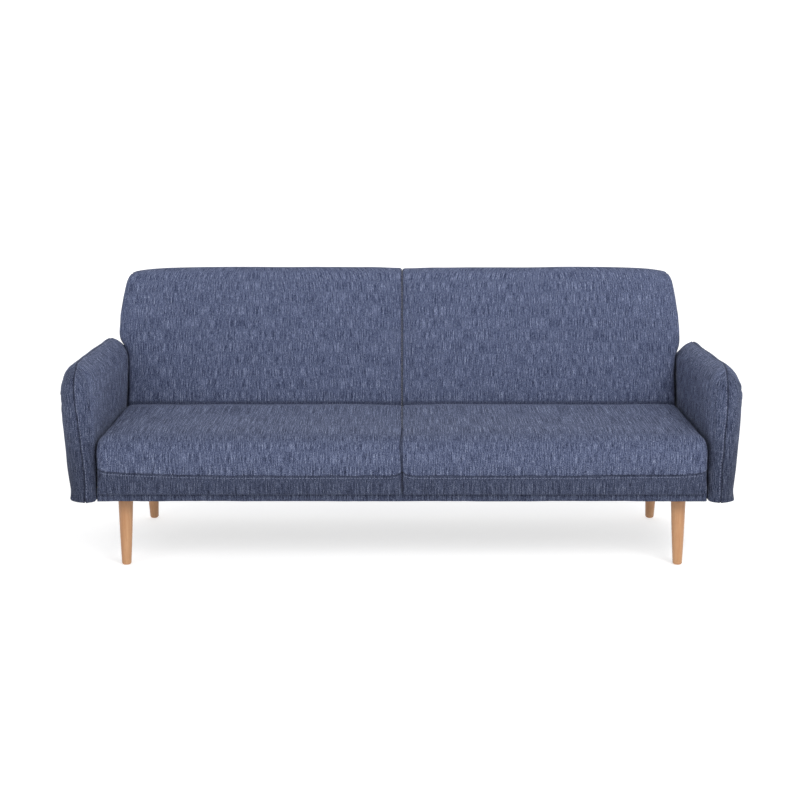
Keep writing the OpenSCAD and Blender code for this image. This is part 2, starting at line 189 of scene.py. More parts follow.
def normals(p, q):
    d1, d2 = p[q[:, 2]] - p[q[:, 0]], p[q[:, 3]] - p[q[:, 1]]
    fn = np.cross(d1, d2)
    n = np.zeros_like(p)
    for c in range(4):
        for k in range(3):
            n[:, k] += np.bincount(q[:, c], fn[:, k], len(p))
    return unit(n)


def smooth(q, p, field, times):
    e = np.concatenate([q[:, [0, 1]], q[:, [1, 2]], q[:, [2, 3]], q[:, [3, 0]]])
    c = (np.bincount(e[:, 0], minlength=len(p)) + np.bincount(e[:, 1], minlength=len(p)))[:, None]
    f = field.copy()
    for _ in range(times):
        m = np.stack([np.bincount(e[:, 0], f[e[:, 1], k], len(p)) + np.bincount(e[:, 1], f[e[:, 0], k], len(p)) for k in range(f.shape[1])], 1)
        f = 0.4 * f + 0.6 * m / c
    return f


def mesh_of(name, p, faces, smooth_shade=True):
    """A mesh from points and a list of equal-length faces (an array) or mixed faces (a list)."""
    me = bpy.data.meshes.new(name)
    if isinstance(faces, np.ndarray):
        me.vertices.add(len(p))
        me.vertices.foreach_set("co", np.ascontiguousarray(p, np.float32).ravel())
        me.loops.add(faces.size)
        me.loops.foreach_set("vertex_index", faces.astype(np.int32).ravel())
        me.polygons.add(len(faces))
        me.polygons.foreach_set("loop_start", np.arange(0, faces.size, faces.shape[1], dtype=np.int32))
        me.update(calc_edges=True)
    else:
        me.from_pydata([tuple(x) for x in p], [], faces)
        me.update()
    me.validate()
    me.polygons.foreach_set("use_smooth", [smooth_shade] * len(me.polygons))
    me.update()
    return me


def object_of(name, me):
    o = bpy.data.objects.new(name, me)
    scene.collection.objects.link(o)
    return o


def arrays(me):
    p = np.empty(len(me.vertices) * 3, np.float32)
    me.vertices.foreach_get("co", p)
    q = np.empty(len(me.loops), np.int32)
    me.loops.foreach_get("vertex_index", q)
    return p.reshape(-1, 3).astype(float), q.reshape(-1, 4)


def inflate(p, q, pin, cap, pressure=4.0, frames=10):
    """How far each point moves when the closed cover is put under pressure, with pinned points held, capped."""
    o = object_of("cloth_tmp", mesh_of("cloth_tmp", p, q))
    g = o.vertex_groups.new(name="pin")
    g.add([int(i) for i in np.nonzero(pin > 0.5)[0]], 1.0, "REPLACE")
    m = o.modifiers.new("Cloth", "CLOTH")
    s = m.settings
    s.quality = 4
    s.use_pressure = True
    s.uniform_pressure_force = pressure
    s.effector_weights.gravity = 0
    s.vertex_group_mass = "pin"
    s.tension_stiffness = 15
    s.compression_stiffness = 15
    s.shear_stiffness = 8
    s.bending_stiffness = 0.8
    m.collision_settings.use_collision = False
    m.point_cache.frame_start = 1
    m.point_cache.frame_end = frames
    for f in range(1, frames + 1):
        scene.frame_set(f)
    dg = bpy.context.evaluated_depsgraph_get()
    e = o.evaluated_get(dg)
    co = np.empty(len(p) * 3, np.float32)
    e.data.vertices.foreach_get("co", co)
    d = co.reshape(-1, 3).astype(float) - p
    me = o.data
    bpy.data.objects.remove(o)
    bpy.data.meshes.remove(me)
    scene.frame_set(1)
    d[~np.isfinite(d).all(1)] = 0
    # only the swelling out of the surface is kept: the faces crown up to the cap, the corners pull in a little
    nn = normals(p, q)
    out = (d * nn).sum(1)
    print("inflate: mean", round(float(out.mean()) * 1000, 2), "max", round(float(out.max()) * 1000, 2))
    out = np.where(out > 0, cap * np.tanh(out / (2.2 * cap)), -0.0016 * np.tanh(-out / 0.004))
    return nn * smooth(q, p, out[:, None], 2) * (1 - pin)[:, None]


def subdivide(p, q):
    o = object_of("sub_tmp", mesh_of("sub_tmp", p, q))
    m = o.modifiers.new("Subdivision", "SUBSURF")
    m.levels = 1
    m.render_levels = 1
    dg = bpy.context.evaluated_depsgraph_get()
    me = bpy.data.meshes.new_from_object(o.evaluated_get(dg), depsgraph=dg)
    old = o.data
    bpy.data.objects.remove(o)
    bpy.data.meshes.remove(old)
    p2, q2 = arrays(me)
    bpy.data.meshes.remove(me)
    return p2, q2


def groove(p, n, s, t, reach, depth, width, lip=0.0, mask=1.0):
    """Draws the rows beside a seam (s is the signed distance, t the unit direction of s) towards it and presses the line in."""
    near = np.abs(s) < reach
    s2 = np.where(near, np.sign(s) * reach * (np.abs(s) / reach) ** 2, s)
    tt = t - (t * n).sum(1, keepdims=True) * n
    tt = unit(tt)
    mask = np.broadcast_to(mask, s.shape)
    p = p + tt * ((s2 - s) * mask)[:, None]
    s2 = s + (s2 - s) * mask
    d = -depth * np.exp(-(s2 / width) ** 2) + lip * np.exp(-((np.abs(s2) - 2.6 * width) / (1.3 * width)) ** 2)
    return p + n * (d * mask)[:, None], s2


def attribute(me, name, values, kind="FLOAT"):
    a = me.attributes.new(name, kind, "POINT")
    a.data.foreach_set("vector" if kind == "FLOAT_VECTOR" else "value", np.ascontiguousarray(values, np.float32).ravel())


def fabric_piece(name, p, q, uv, painted_crease_shade, material, painted_shade=1.0, slub=None):
    me = mesh_of(name, p, q)
    lay = uv if slub is None else slub
    attribute(me, "slub", np.stack([lay[:, 0], lay[:, 1], np.zeros(len(p))], 1), "FLOAT_VECTOR")
    # per-point painted shade for the fabric's colour: an overall darkening, and a weight for darker seams, gaps and
    # folds
    attribute(me, "painted_shade", np.broadcast_to(np.asarray(painted_shade, float), (len(p),)))
    side = uv[:, 2] if uv.shape[1] > 2 else np.zeros(len(p))
    attribute(me, "weave", np.stack([uv[:, 0], uv[:, 1], side], 1), "FLOAT_VECTOR")
    attribute(me, "painted_crease_shade", painted_crease_shade)
    o = object_of(name, me)
    me.materials.append(material)
    return o


def stitches(name, p, n, material, length=0.0064, pitch=0.0088, r=0.00075, seed=1):
    """A row of thread stitches along a dense polyline p that lies on the cloth, n its normals."""
    seg = np.linalg.norm(np.diff(p, axis=0), axis=1)
    arc = np.concatenate([[0], np.cumsum(seg)])
    count = max(int(arc[-1] / pitch), 1)
    pts, faces = [], []
    for i in range(count):
        c = (i + 0.5) * pitch + float(hashed(np.array([i]), np.array([3]), np.array([7]), seed)[0]) * 0.0005
        ring = []
        for j, (t, rr, up) in enumerate([(-0.5, 0.25, -0.0006), (-0.38, 0.8, 0.0), (0.0, 1.0, 0.00035), (0.38, 0.8, 0.0), (0.5, 0.25, -0.0006)]):
            a = min(max(c + t * length, 0), arc[-1])
            pos = np.array([np.interp(a, arc, p[:, k]) for k in range(3)])
            nn = np.array([np.interp(a, arc, n[:, k]) for k in range(3)])
            nn /= np.linalg.norm(nn)
            b = min(a + 1e-3, arc[-1])
            a2 = max(b - 2e-3, 0)
            tan = np.array([np.interp(b, arc, p[:, k]) - np.interp(a2, arc, p[:, k]) for k in range(3)])
            tan /= max(np.linalg.norm(tan), 1e-9)
            side = np.cross(tan, nn)
            side /= max(np.linalg.norm(side), 1e-9)
            for k in range(6):
                w = 2 * math.pi * k / 6
                pts.append(pos + nn * (up + r * 0.35 + rr * r * math.cos(w)) + side * rr * r * math.sin(w))
            ring.append(len(pts) - 6)
        for a, b in zip(ring[:-1], ring[1:]):
            for k in range(6):
                faces.append([a + k, b + k, b + (k + 1) % 6, a + (k + 1) % 6])
        faces.append([ring[0] + k for k in range(6)])
        faces.append([ring[-1] + k for k in range(5, -1, -1)])
    o = object_of(name, mesh_of(name, pts, faces))
    o.data.materials.append(material)
    return o


def snap(p, q, path):
    """The nearest points of the quad mesh to a path, and the normals there."""
    tree = BVHTree.FromPolygons([Vector(x) for x in p], [list(map(int, f)) for f in q])
    at, nn = [], []
    for x in path:
        loc, nor, _, _ = tree.find_nearest(Vector(x))
        at.append(loc)
        nn.append(nor)
    at, nn = np.array([list(a) for a in at]), np.array([list(a) for a in nn])
    for _ in range(3):
        nn[1:-1] = (nn[:-2] + nn[1:-1] + nn[2:]) / 3
        at[1:-1] = (at[:-2] + 2 * at[1:-1] + at[2:]) / 4
    return at, unit(nn)


# ---------------------------------------------------------------- node helpers
class Nodes:
    def __init__(self, name):
        self.m = bpy.data.materials.new(name)
        self.m.use_nodes = True
        self.t = self.m.node_tree
        self.bsdf = self.t.nodes["Principled BSDF"]

    def new(self, kind, **props):
        n = self.t.nodes.new(kind)
        for k, v in props.items():
            setattr(n, k, v)
        return n

    def put(self, sock, value):
        if isinstance(value, bpy.types.NodeSocket):
            self.t.links.new(value, sock)
        elif value is not None:
            sock.default_value = value

    def math(self, op, a, b=None, c=None, clamp=False):
        n = self.new("ShaderNodeMath", operation=op, use_clamp=clamp)
        for i, v in enumerate((a, b, c)):
            self.put(n.inputs[i], v)
        return n.outputs[0]

    def noise(self, vec, scale=1.0, detail=2.0, rough=0.5, distortion=0.0):
        n = self.new("ShaderNodeTexNoise")
        self.put(n.inputs["Vector"], vec)
        n.inputs["Scale"].default_value = scale
        n.inputs["Detail"].default_value = detail
        n.inputs["Roughness"].default_value = rough
        n.inputs["Distortion"].default_value = distortion
        return n.outputs["Fac"]

    def scaled(self, vec, sx, sy, sz, off=(0, 0, 0)):
        n = self.new("ShaderNodeMapping")
        self.put(n.inputs["Vector"], vec)
        n.inputs["Scale"].default_value = (sx, sy, sz)
        n.inputs["Location"].default_value = off
        return n.outputs[0]

    def ramp(self, fac, stops, interp="LINEAR"):
        n = self.new("ShaderNodeValToRGB")
        self.put(n.inputs[0], fac)
        n.color_ramp.interpolation = interp
        el = n.color_ramp.elements
        while len(el) < len(stops):
            el.new(0.5)
        for e, (pos, col) in zip(el, stops):
            e.position = pos
            e.color = (*col, 1) if len(col) == 3 else col
        return n.outputs[0]

    def mix(self, kind, fac, a, b):
        n = self.new("ShaderNodeMix", data_type="RGBA", blend_type=kind)
        self.put(n.inputs["Factor"], fac)
        self.put(n.inputs[6], a)
        self.put(n.inputs[7], b)
        return n.outputs[2]

    def remap(self, v, a, b, c, d):
        n = self.new("ShaderNodeMapRange")
        self.put(n.inputs[0], v)
        for i, x in enumerate((a, b, c, d)):
            n.inputs[i + 1].default_value = x
        return n.outputs[0]

    def bump(self, height, strength, distance, normal=None):
        n = self.new("ShaderNodeBump")
        n.inputs["Strength"].default_value = strength
        n.inputs["Distance"].default_value = distance
        self.put(n.inputs["Height"], height)
        if normal is not None:
            self.put(n.inputs["Normal"], normal)
        return n.outputs[0]


def denim(name, seed, attr=True, gain=0.78):
    """Heathered chenille-like weave: upright slub streaks in three yarn colours over a fine plain weave."""
    k = Nodes(name)
    coord = k.new("ShaderNodeTexCoord").outputs["Object"]
    sep = k.new("ShaderNodeSeparateXYZ")
    if attr:
        w = k.new("ShaderNodeAttribute", attribute_type="GEOMETRY", attribute_name="weave")
        k.put(sep.inputs[0], w.outputs["Vector"])
        side = k.math("GREATER_THAN", sep.outputs[2], 0.5)
        osep = k.new("ShaderNodeSeparateXYZ")
        k.put(osep.inputs[0], coord)
        comb_a = k.new("ShaderNodeCombineXYZ")
        k.put(comb_a.inputs[0], sep.outputs[0])
        k.put(comb_a.inputs[1], sep.outputs[1])
        comb_b = k.new("ShaderNodeCombineXYZ")
        k.put(comb_b.inputs[0], osep.outputs[1])
        k.put(comb_b.inputs[1], osep.outputs[2])
        pick = k.new("ShaderNodeMix", data_type="VECTOR")
        k.put(pick.inputs["Factor"], side)
        k.put(pick.inputs[4], comb_a.outputs[0])
        k.put(pick.inputs[5], comb_b.outputs[0])
        uv = pick.outputs[1]
        painted_crease_shade = k.new("ShaderNodeAttribute", attribute_type="GEOMETRY", attribute_name="painted_crease_shade").outputs["Fac"]
        lay = k.new("ShaderNodeAttribute", attribute_type="GEOMETRY", attribute_name="slub").outputs["Vector"]
    else:
        k.put(sep.inputs[0], coord)
        comb = k.new("ShaderNodeCombineXYZ")
        k.put(comb.inputs[0], sep.outputs[0])
        k.put(comb.inputs[1], k.math("ADD", sep.outputs[1], sep.outputs[2]))
        uv = lay = comb.outputs[0]
        painted_crease_shade = 0.0
    # long upright slubs, shorter yarn flecks over them, a fine weft, and a slow heather
    slub = k.noise(k.scaled(lay, 430, 24, 1, (seed, 3 * seed, 0)), 1.0, 1.0, 0.5)
    slub2 = k.noise(k.scaled(lay, 620, 105, 1, (5 + seed, seed, 4)), 1.0, 1.0, 0.5)
    yarn = k.noise(k.scaled(lay, 760, 400, 1, (0, seed, 5)), 1.0, 1.0, 0.6)
    weft = k.noise(k.scaled(lay, 300, 640, 1, (seed, 0, 9)), 1.0, 1.0, 0.5)
    cloud = k.noise(k.scaled(uv, 26, 8, 1, (2, seed, 3)), 1.0, 2.0, 0.5)
    v = k.math("MULTIPLY", k.math("SUBTRACT", slub, 0.5), 1.25)
    v = k.math("MULTIPLY_ADD", k.math("SUBTRACT", slub2, 0.5), 0.95, v)
    v = k.math("MULTIPLY_ADD", k.math("SUBTRACT", yarn, 0.5), 1.45, v)
    v = k.math("MULTIPLY_ADD", k.math("SUBTRACT", weft, 0.5), 0.8, v)
    v = k.math("MULTIPLY_ADD", k.math("SUBTRACT", cloud, 0.5), 0.14, v)
    v = k.math("ADD", v, 0.47, clamp=True)
    g = gain
    col = k.ramp(v, [(0.0, (0.014 * g, 0.017 * g, 0.042 * g)), (0.27, (0.050 * g, 0.063 * g, 0.122 * g)),
                     (0.51, (0.106 * g, 0.130 * g, 0.228 * g)), (0.75, (0.200 * g, 0.235 * g, 0.375 * g)),
                     (1.0, (0.41 * g, 0.46 * g, 0.62 * g))])
    if attr:
        # painted shade: the colour is multiplied by a per-point darkening
        painted_shade = k.new("ShaderNodeAttribute", attribute_type="GEOMETRY", attribute_name="painted_shade").outputs["Fac"]
        painted_shade_rgb = k.new("ShaderNodeCombineColor")
        for i in range(3):
            k.put(painted_shade_rgb.inputs[i], painted_shade)
        col = k.mix("MULTIPLY", 1.0, col, painted_shade_rgb.outputs[0])
        # painted shade: seams, gaps and folds are mixed towards a near-black blue
        col = k.mix("MIX", k.math("MULTIPLY", painted_crease_shade, 0.8), col, (0.012, 0.014, 0.028, 1))
    k.put(k.bsdf.inputs["Base Color"], col)
    rough = k.remap(v, 0, 1, 0.98, 0.78)
    k.put(k.bsdf.inputs["Roughness"], rough)
    # plain weave: ribs along and across
    sp = k.new("ShaderNodeSeparateXYZ")
    k.put(sp.inputs[0], uv)
    warp = k.math("SINE", k.math("MULTIPLY", sp.outputs[0], 2 * math.pi / 0.0017))
    wefts = k.math("SINE", k.math("MULTIPLY", sp.outputs[1], 2 * math.pi / 0.0021))
    weave = k.math("MULTIPLY", warp, wefts)
    h = k.math("MULTIPLY_ADD", v, 1.1, k.math("MULTIPLY", weave, 0.20))
    k.put(k.bsdf.inputs["Normal"], k.bump(h, 0.62, 0.0011))
    k.bsdf.inputs["Sheen Weight"].default_value = 0.11
    k.bsdf.inputs["Sheen Roughness"].default_value = 0.45
    k.bsdf.inputs["Sheen Tint"].default_value = (0.62, 0.68, 0.86, 1)
    k.bsdf.inputs["Specular IOR Level"].default_value = 0.12
    return k.m


def wood(name, dark, mid, light, along=(1, 1, 0.045), rough=0.42, scale=160, coat=0.0, fleck=0.0, bump=0.12):
    k = Nodes(name)
    c = k.new("ShaderNodeTexCoord").outputs["Object"]
    grain = k.noise(k.scaled(c, scale * along[0], scale * along[1], scale * along[2]), 1.0, 5.0, 0.6, 0.4)
    broad = k.noise(k.scaled(c, 16 * along[0] + 2, 16 * along[1] + 2, 16 * along[2] + 1), 1.0, 2.0, 0.5, 0.6)
    pores = k.noise(k.scaled(c, scale * 5 * along[0] + 40, scale * 5 * along[1] + 40, scale * 5 * along[2] + 12), 1.0, 1.0, 0.5)
    v = k.math("MULTIPLY_ADD", k.math("SUBTRACT", grain, 0.5), 1.1, k.math("MULTIPLY_ADD", k.math("SUBTRACT", broad, 0.5), 0.9, 0.5), clamp=True)
    col = k.ramp(v, [(0.0, dark), (0.45, mid), (1.0, light)])
    spot = k.remap(pores, 0.62, 0.74, 0.0, 1.0)
    col = k.mix("MULTIPLY", k.math("MULTIPLY", spot, 0.3 + fleck), col, (0.72, 0.58, 0.45, 1))
    k.put(k.bsdf.inputs["Base Color"], col)
    k.put(k.bsdf.inputs["Roughness"], k.remap(grain, 0.2, 0.8, rough + 0.07, rough - 0.05))
    k.put(k.bsdf.inputs["Normal"], k.bump(k.math("MULTIPLY_ADD", spot, -0.5, grain), bump, 0.0004))
    k.bsdf.inputs["Coat Weight"].default_value = coat
    k.bsdf.inputs["Coat Roughness"].default_value = 0.3
    return k.m


def metal(name, base, rough, streak=0.0):
    k = Nodes(name)
    c = k.new("ShaderNodeTexCoord").outputs["Object"]
    n = k.noise(c, 260, 3, 0.6)
    s = k.noise(k.scaled(c, 30, 900, 60), 1.0, 2.0, 0.5)
    v = k.math("MULTIPLY_ADD", s, streak, k.math("MULTIPLY", n, 1 - streak))
    k.put(k.bsdf.inputs["Base Color"], k.ramp(v, [(0.2, tuple(x * 0.7 for x in base)), (0.8, base)]))
    k.put(k.bsdf.inputs["Roughness"], k.remap(v, 0.2, 0.8, rough + 0.15, rough - 0.05))
    k.bsdf.inputs["Metallic"].default_value = 1.0
    k.put(k.bsdf.inputs["Normal"], k.bump(n, 0.1, 0.0002))
    return k.m


def soft(name, dark, light, scale, bump, rough=0.9, squash_z=1.0):
    k = Nodes(name)
    c = k.new("ShaderNodeTexCoord").outputs["Object"]
    n = k.noise(k.scaled(c, scale, scale, scale * squash_z), 1.0, 4.0, 0.65)
    big = k.noise(c, 9, 2, 0.5)
    v = k.math("MULTIPLY_ADD", k.math("SUBTRACT", big, 0.5), 0.4, n)
    k.put(k.bsdf.inputs["Base Color"], k.ramp(v, [(0.3, dark), (0.7, light)]))
    k.bsdf.inputs["Roughness"].default_value = rough
    k.put(k.bsdf.inputs["Normal"], k.bump(n, bump, 0.001))
    return k.m


def webbing(name):
    k = Nodes(name)
    c = k.new("ShaderNodeTexCoord").outputs["Object"]
    sp = k.new("ShaderNodeSeparateXYZ")
    k.put(sp.inputs[0], c)
    a = k.math("SINE", k.math("MULTIPLY", sp.outputs[0], 2 * math.pi / 0.003))
    b = k.math("SINE", k.math("MULTIPLY", sp.outputs[2], 2 * math.pi / 0.004))
    w = k.math("MULTIPLY", a, b)
    v = k.math("MULTIPLY_ADD", w, 0.25, k.noise(c, 300, 3, 0.6))
    k.put(k.bsdf.inputs["Base Color"], k.ramp(v, [(0.2, (0.11, 0.09, 0.06)), (0.8, (0.30, 0.26, 0.18))]))
    k.bsdf.inputs["Roughness"].default_value = 0.85
    k.put(k.bsdf.inputs["Normal"], k.bump(v, 0.5, 0.0008))
    return k.m


M_SEAT = denim("denim_seat", 1.7)
M_BACK = denim("denim_back", 4.3)
M_ARM = denim("denim_arm", 7.9)
M_RAIL = denim("denim_rail", 11.3)
M_THREAD = soft("stitch_thread", (0.11, 0.13, 0.21), (0.20, 0.225, 0.33), 900, 0.3, 0.7)
M_BEECH = wood("beech", (0.275, 0.118, 0.042), (0.385, 0.187, 0.080), (0.48, 0.265, 0.130), along=(1, 1, 0.05), rough=0.40, scale=190, coat=0.12, fleck=0.25)
M_PINE = wood("pine", (0.42, 0.27, 0.13), (0.62, 0.43, 0.24), (0.72, 0.54, 0.33), along=(0.05, 1, 1), rough=0.6, scale=120)
M_PLY = wood("plywood", (0.34, 0.22, 0.12), (0.50, 0.34, 0.19), (0.60, 0.43, 0.26), along=(1, 1, 0.08), rough=0.65, scale=110)
M_STEEL = metal("steel_zinc", (0.52, 0.53, 0.55), 0.36, 0.4)
M_SPRING = metal("spring_steel", (0.16, 0.16, 0.17), 0.42, 0.2)
M_FOAM = soft("foam", (0.62, 0.56, 0.38), (0.80, 0.75, 0.58), 420, 0.5)
M_DUST = soft("dust_cloth", (0.010, 0.010, 0.012), (0.032, 0.032, 0.036), 700, 0.45, 0.88)
M_WEB = webbing("webbing")


# ---------------------------------------------------------------- seat cushions
def seam_height(x, lift=0.0):
    return 0.2865 + lift * np.clip((x - 0.48) / 0.41, 0, 1) ** 1.6 + 0.008 * np.exp(-(HALF - x) / 0.022) + 0.011 * np.exp(-np.maximum(x - 0.0015, 0) / 0.012)


def seat(side, label, seed):
    shrink = 0.003
    lift = 0.012 if side < 0 else 0.005            # the front seam climbs towards the outer ends

    def local(p):
        x, y, z = p[:, 0] * side, p[:, 1] + YO, p[:, 2]
        # the gap between the cushions wanders a little where the front edge rolls over
        x = x + side * 0.0055 * np.exp(-((z - 0.365) / 0.045) ** 2 - (np.maximum(y, 0) / 0.10) ** 2) * (1 - sstep(0.05, 0.45, x))
        return x, y, z

    def f(p):
        x, y, z = local(p)
        u, w = (x - 0.444) / 0.443, np.clip((y - 0.26) / 0.26, -1, 1)
        top = z - (SEAT_T + 0.0005 + 0.0035 * (1 - np.abs(np.clip(u, -1, 1)) ** 3) + 0.0075 * sstep(-0.2, 0.9, w) - 0.0040 * sstep(0.0, -1.0, w) - shrink)
        zs = 0.2865
        swell = 0.0035 * np.sin(np.pi * np.clip((z - zs) / 0.085, 0, 1)) + 0.0015
        tuck = -0.0015 - 0.085 * np.clip(zs - z, 0, 1) + 0.0022 * np.sin(np.pi * np.clip((zs - z) / 0.06, 0, 1))
        front = -(y + np.where(z > zs, swell, swell * 0 + 0.0015 + tuck + 0.0015)) + shrink * 0.6
        rear = y - (SEAT_D + 0.004 * np.sin(np.pi * np.clip((z - 0.25) / 0.15, 0, 1)) - shrink)
        low = np.minimum(0.2515 - z, np.maximum(0.2262 - z, y - 0.0172))
        outer = x - (HALF - 0.0005 + 0.0015 * np.sin(np.pi * np.clip((z - 0.23) / 0.17, 0, 1)) - shrink * 0.5)
        inner = -0.0016 - x
        a = rmax(top, front, 0.047)
        a = rmax(a, rear, 0.027)
        w_ = sstep(0.254, 0.290, z)                      # the band stays square enough to hide the side rail's end
        a = (1 - w_) * rmax(a, outer, 0.006) + w_ * rmax(a, outer, 0.024)
        a = rmax(a, inner, 0.011)
        a = np.maximum(a, rmax(np.maximum(low, 0.2262 - z), outer, 0.006))
        return rmax(a, low, 0.004)

    h = 0.0076
    xs = (0.0, HALF) if side > 0 else (-HALF, 0.0)
    p, q = nets(f, (xs[0] - 0.008, -YO - 0.01, 0.222), (xs[1] + 0.008, -YO + SEAT_D + 0.01, SEAT_T + 0.01), h)
    x, y, z = p[:, 0] * side, p[:, 1] + YO, p[:, 2]
    n = normals(p, q)
    # the cover is held at its lower edge, along the front seam and at the gap's two faces
    pin = np.clip(sstep(0.27, 0.255, z) + (n[:, 2] < -0.5) + np.exp(-((z - seam_height(x, lift)) / 0.006) ** 2) * (y < 0.03), 0, 1)
    d = inflate(p, q, pin, 0.0075)
    hold = 1 - 0.85 * np.exp(-(np.maximum(x - 0.0016, 0) / 0.010) ** 2) * (np.abs(n[:, 0]) > 0.5)
    hold *= 1 - 0.7 * sstep(HALF - 0.012, HALF - 0.003, x) * (n[:, 0] * side > 0.5)
    p = p + d * hold[:, None]
    p, q = subdivide(p, q)
    n = normals(p, q)
    x, y, z = p[:, 0] * side, p[:, 1] + YO, p[:, 2]
    # slack in the cloth: broad soft waves, then short tension puckers that run up from the front seam
    wave = noise(p, (0.16, 0.13, 0.13), seed) * 0.0014 + noise(p, (0.07, 0.09, 0.05), seed + 1) * 0.0006
    up = np.clip(n[:, 2] * 1.2 + 0.2, 0.25, 1)
    p = p + n * (wave * up * (z > 0.27))[:, None]
    zs = seam_height(x, lift) + noise(np.stack([x, x * 0, x * 0], 1), (0.05, 1, 1), seed + 2) * 0.0009
    s = z - zs
    reach_y = 1 - sstep(0.16, 0.20, y)
    pk = noise(np.stack([x, y, x * 0], 1), (0.017, 0.02, 1), seed + 3)
    pucker = pk * np.exp(-np.abs(s) / 0.010) * 0.0005 + noise(np.stack([x, y, x * 0], 1), (0.045, 0.05, 1), seed + 5) * np.exp(-np.abs(s - 0.004) / 0.026) * 0.0007
    front_side = (y < 0.2) & (n[:, 2] < 0.75)
    p = p + n * (pucker * front_side * reach_y)[:, None]
    t = np.tile(np.array([0, 0, 1.0]), (len(p), 1))
    mask = (front_side & (np.abs(n[:, 2]) < 0.8)) * reach_y
    p, s2 = groove(p, n, s, t, 0.0095, 0.0028, 0.0015, 0.0006, mask)
    # painted shade in the seam's groove
    painted_crease_shade = 0.75 * np.exp(-(s2 / 0.0011) ** 2) * mask
    # painted shade along the lower edge, where the band turns under onto the rail
    painted_crease_shade = np.maximum(painted_crease_shade, 0.5 * sstep(0.2285, 0.2255, z) * (y < 0.03))
    # painted shade down the gap between the two cushions
    painted_crease_shade = np.maximum(painted_crease_shade, 0.8 * np.exp(-(p[:, 0] / 0.0030) ** 2))
    # seam up the outer and inner front corners of the band is only a soft turn; the top's side edges carry a sewn edge
    p[:, 0] = side * np.maximum(p[:, 0] * side, 0.0001 - side * 0.0055 * np.exp(-((p[:, 2] - 0.365) / 0.045) ** 2 - (np.maximum(p[:, 1] + YO, 0) / 0.10) ** 2))
    x, y, z = p[:, 0] * side, p[:, 1] + YO, p[:, 2]
    sg = 1 - 2 * sstep(0.16, 0.40, y)
    uv = np.stack([p[:, 0] + 0.31 * (z < zs), y + (z - SEAT_T) * sg + 0.17 * (z < zs) * (y < 0.2), sstep(0.55, 0.85, np.abs(n[:, 0]))], 1)
    # painted shade: the band under the seam is painted at half brightness, the front roll and the face just above the
    # seam a little darker than the rest of the top
    painted_shade = np.where((z < zs) & (y < 0.2), 0.50, 0.87 + 0.14 * sstep(0.02, 0.12, y) - 0.05 * sstep(0.36, 0.29, z))
    run = np.where(y < 0.04, y, 0.04 + (y - 0.04) * 0.34)
    slub = np.stack([uv[:, 0], run + (z - SEAT_T) * sg + 0.17 * (z < zs) * (y < 0.2)], 1)
    o = fabric_piece("seat_cushion_" + label, p, q, uv, painted_crease_shade, M_SEAT, painted_shade, slub)
    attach(o, "base")
    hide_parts("seat_cover_" + label, "seat_foam_" + label)
    # topstitching just under the seam, along the front
    xx = np.arange(0.010, HALF - 0.010, 0.002)
    path = np.stack([side * xx, np.full_like(xx, -YO - 0.004), seam_height(xx, lift) - 0.0066], 1)
    at, nn = snap(p, q, path)
    st = stitches("seat_stitching_" + label, at, nn, M_THREAD, seed=seed)
    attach(st, "base")
    return o


# ---------------------------------------------------------------- back cushions
def to_back(p):
    """Row frame to the back's own frame: (x, depth out of the rear, length up the back)."""
    d = p - np.array([0, PIV[1], PIV[2]])
    return np.stack([d[:, 0], d[:, 1] * CS - d[:, 2] * SN, d[:, 1] * SN + d[:, 2] * CS], 1)


def from_back(b):
    return np.stack([b[:, 0], b[:, 1] * CS + b[:, 2] * SN + PIV[1], -b[:, 1] * SN + b[:, 2] * CS + PIV[2]], 1)


EAR = {
    -1: ([-0.10, 0.180, 0.197, 0.212, 0.224, 0.234, 0.243, 0.253, 0.268, 0.300, 0.330, 0.367, 0.417, 0.448, 0.475, 0.56],
         [0.8886, 0.8886, 0.8896, 0.8940, 0.8990, 0.9045, 0.9110, 0.9170, 0.9206, 0.9212, 0.9210, 0.9165, 0.9085, 0.9015, 0.8930, 0.874]),
    1: ([-0.10, 0.180, 0.196, 0.208, 0.218, 0.229, 0.243, 0.278, 0.310, 0.335, 0.367, 0.417, 0.448, 0.475, 0.56],
        [0.8886, 0.8886, 0.8905, 0.8950, 0.8990, 0.9030, 0.9058, 0.9068, 0.9065, 0.9050, 0.9010, 0.8930, 0.8860, 0.8775, 0.858])}
EAR_OUT = 0.925
DROP_X = [-0.1, 0.60, 0.70, 0.7475, 0.800, 0.828, 0.855, 0.874, 0.890, 0.915, 0.95]
DROP = [0.0, 0.0, 0.0005, 0.0015, 0.0040, 0.0068, 0.0112, 0.0160, 0.0215, 0.033, 0.05]
TOP = S + 0.0090
FRONT_S = [-0.10, 0.0, 0.025, 0.050, 0.085, 0.14, 0.20, 0.30, 0.40, 0.47, 0.56]
FRONT_N = [0.058, 0.0605, 0.0660, 0.0680, 0.0665, 0.0615, 0.0580, 0.0545, 0.0520, 0.0500, 0.0480]


def curve(x, xs, ys):
    """Smooth curve through the points (Catmull-Rom)."""
    xs, ys = np.array(xs), np.array(ys)
    m = np.gradient(ys, xs)
    i = np.clip(np.searchsorted(xs, x) - 1, 0, len(xs) - 2)
    hh = xs[i + 1] - xs[i]
    t = np.clip((x - xs[i]) / hh, 0, 1)
    return ((2 * t ** 3 - 3 * t ** 2 + 1) * ys[i] + (t ** 3 - 2 * t ** 2 + t) * hh * m[i]
            + (-2 * t ** 3 + 3 * t ** 2) * ys[i + 1] + (t ** 3 - t ** 2) * hh * m[i + 1])


REAR_Y = 0.0785


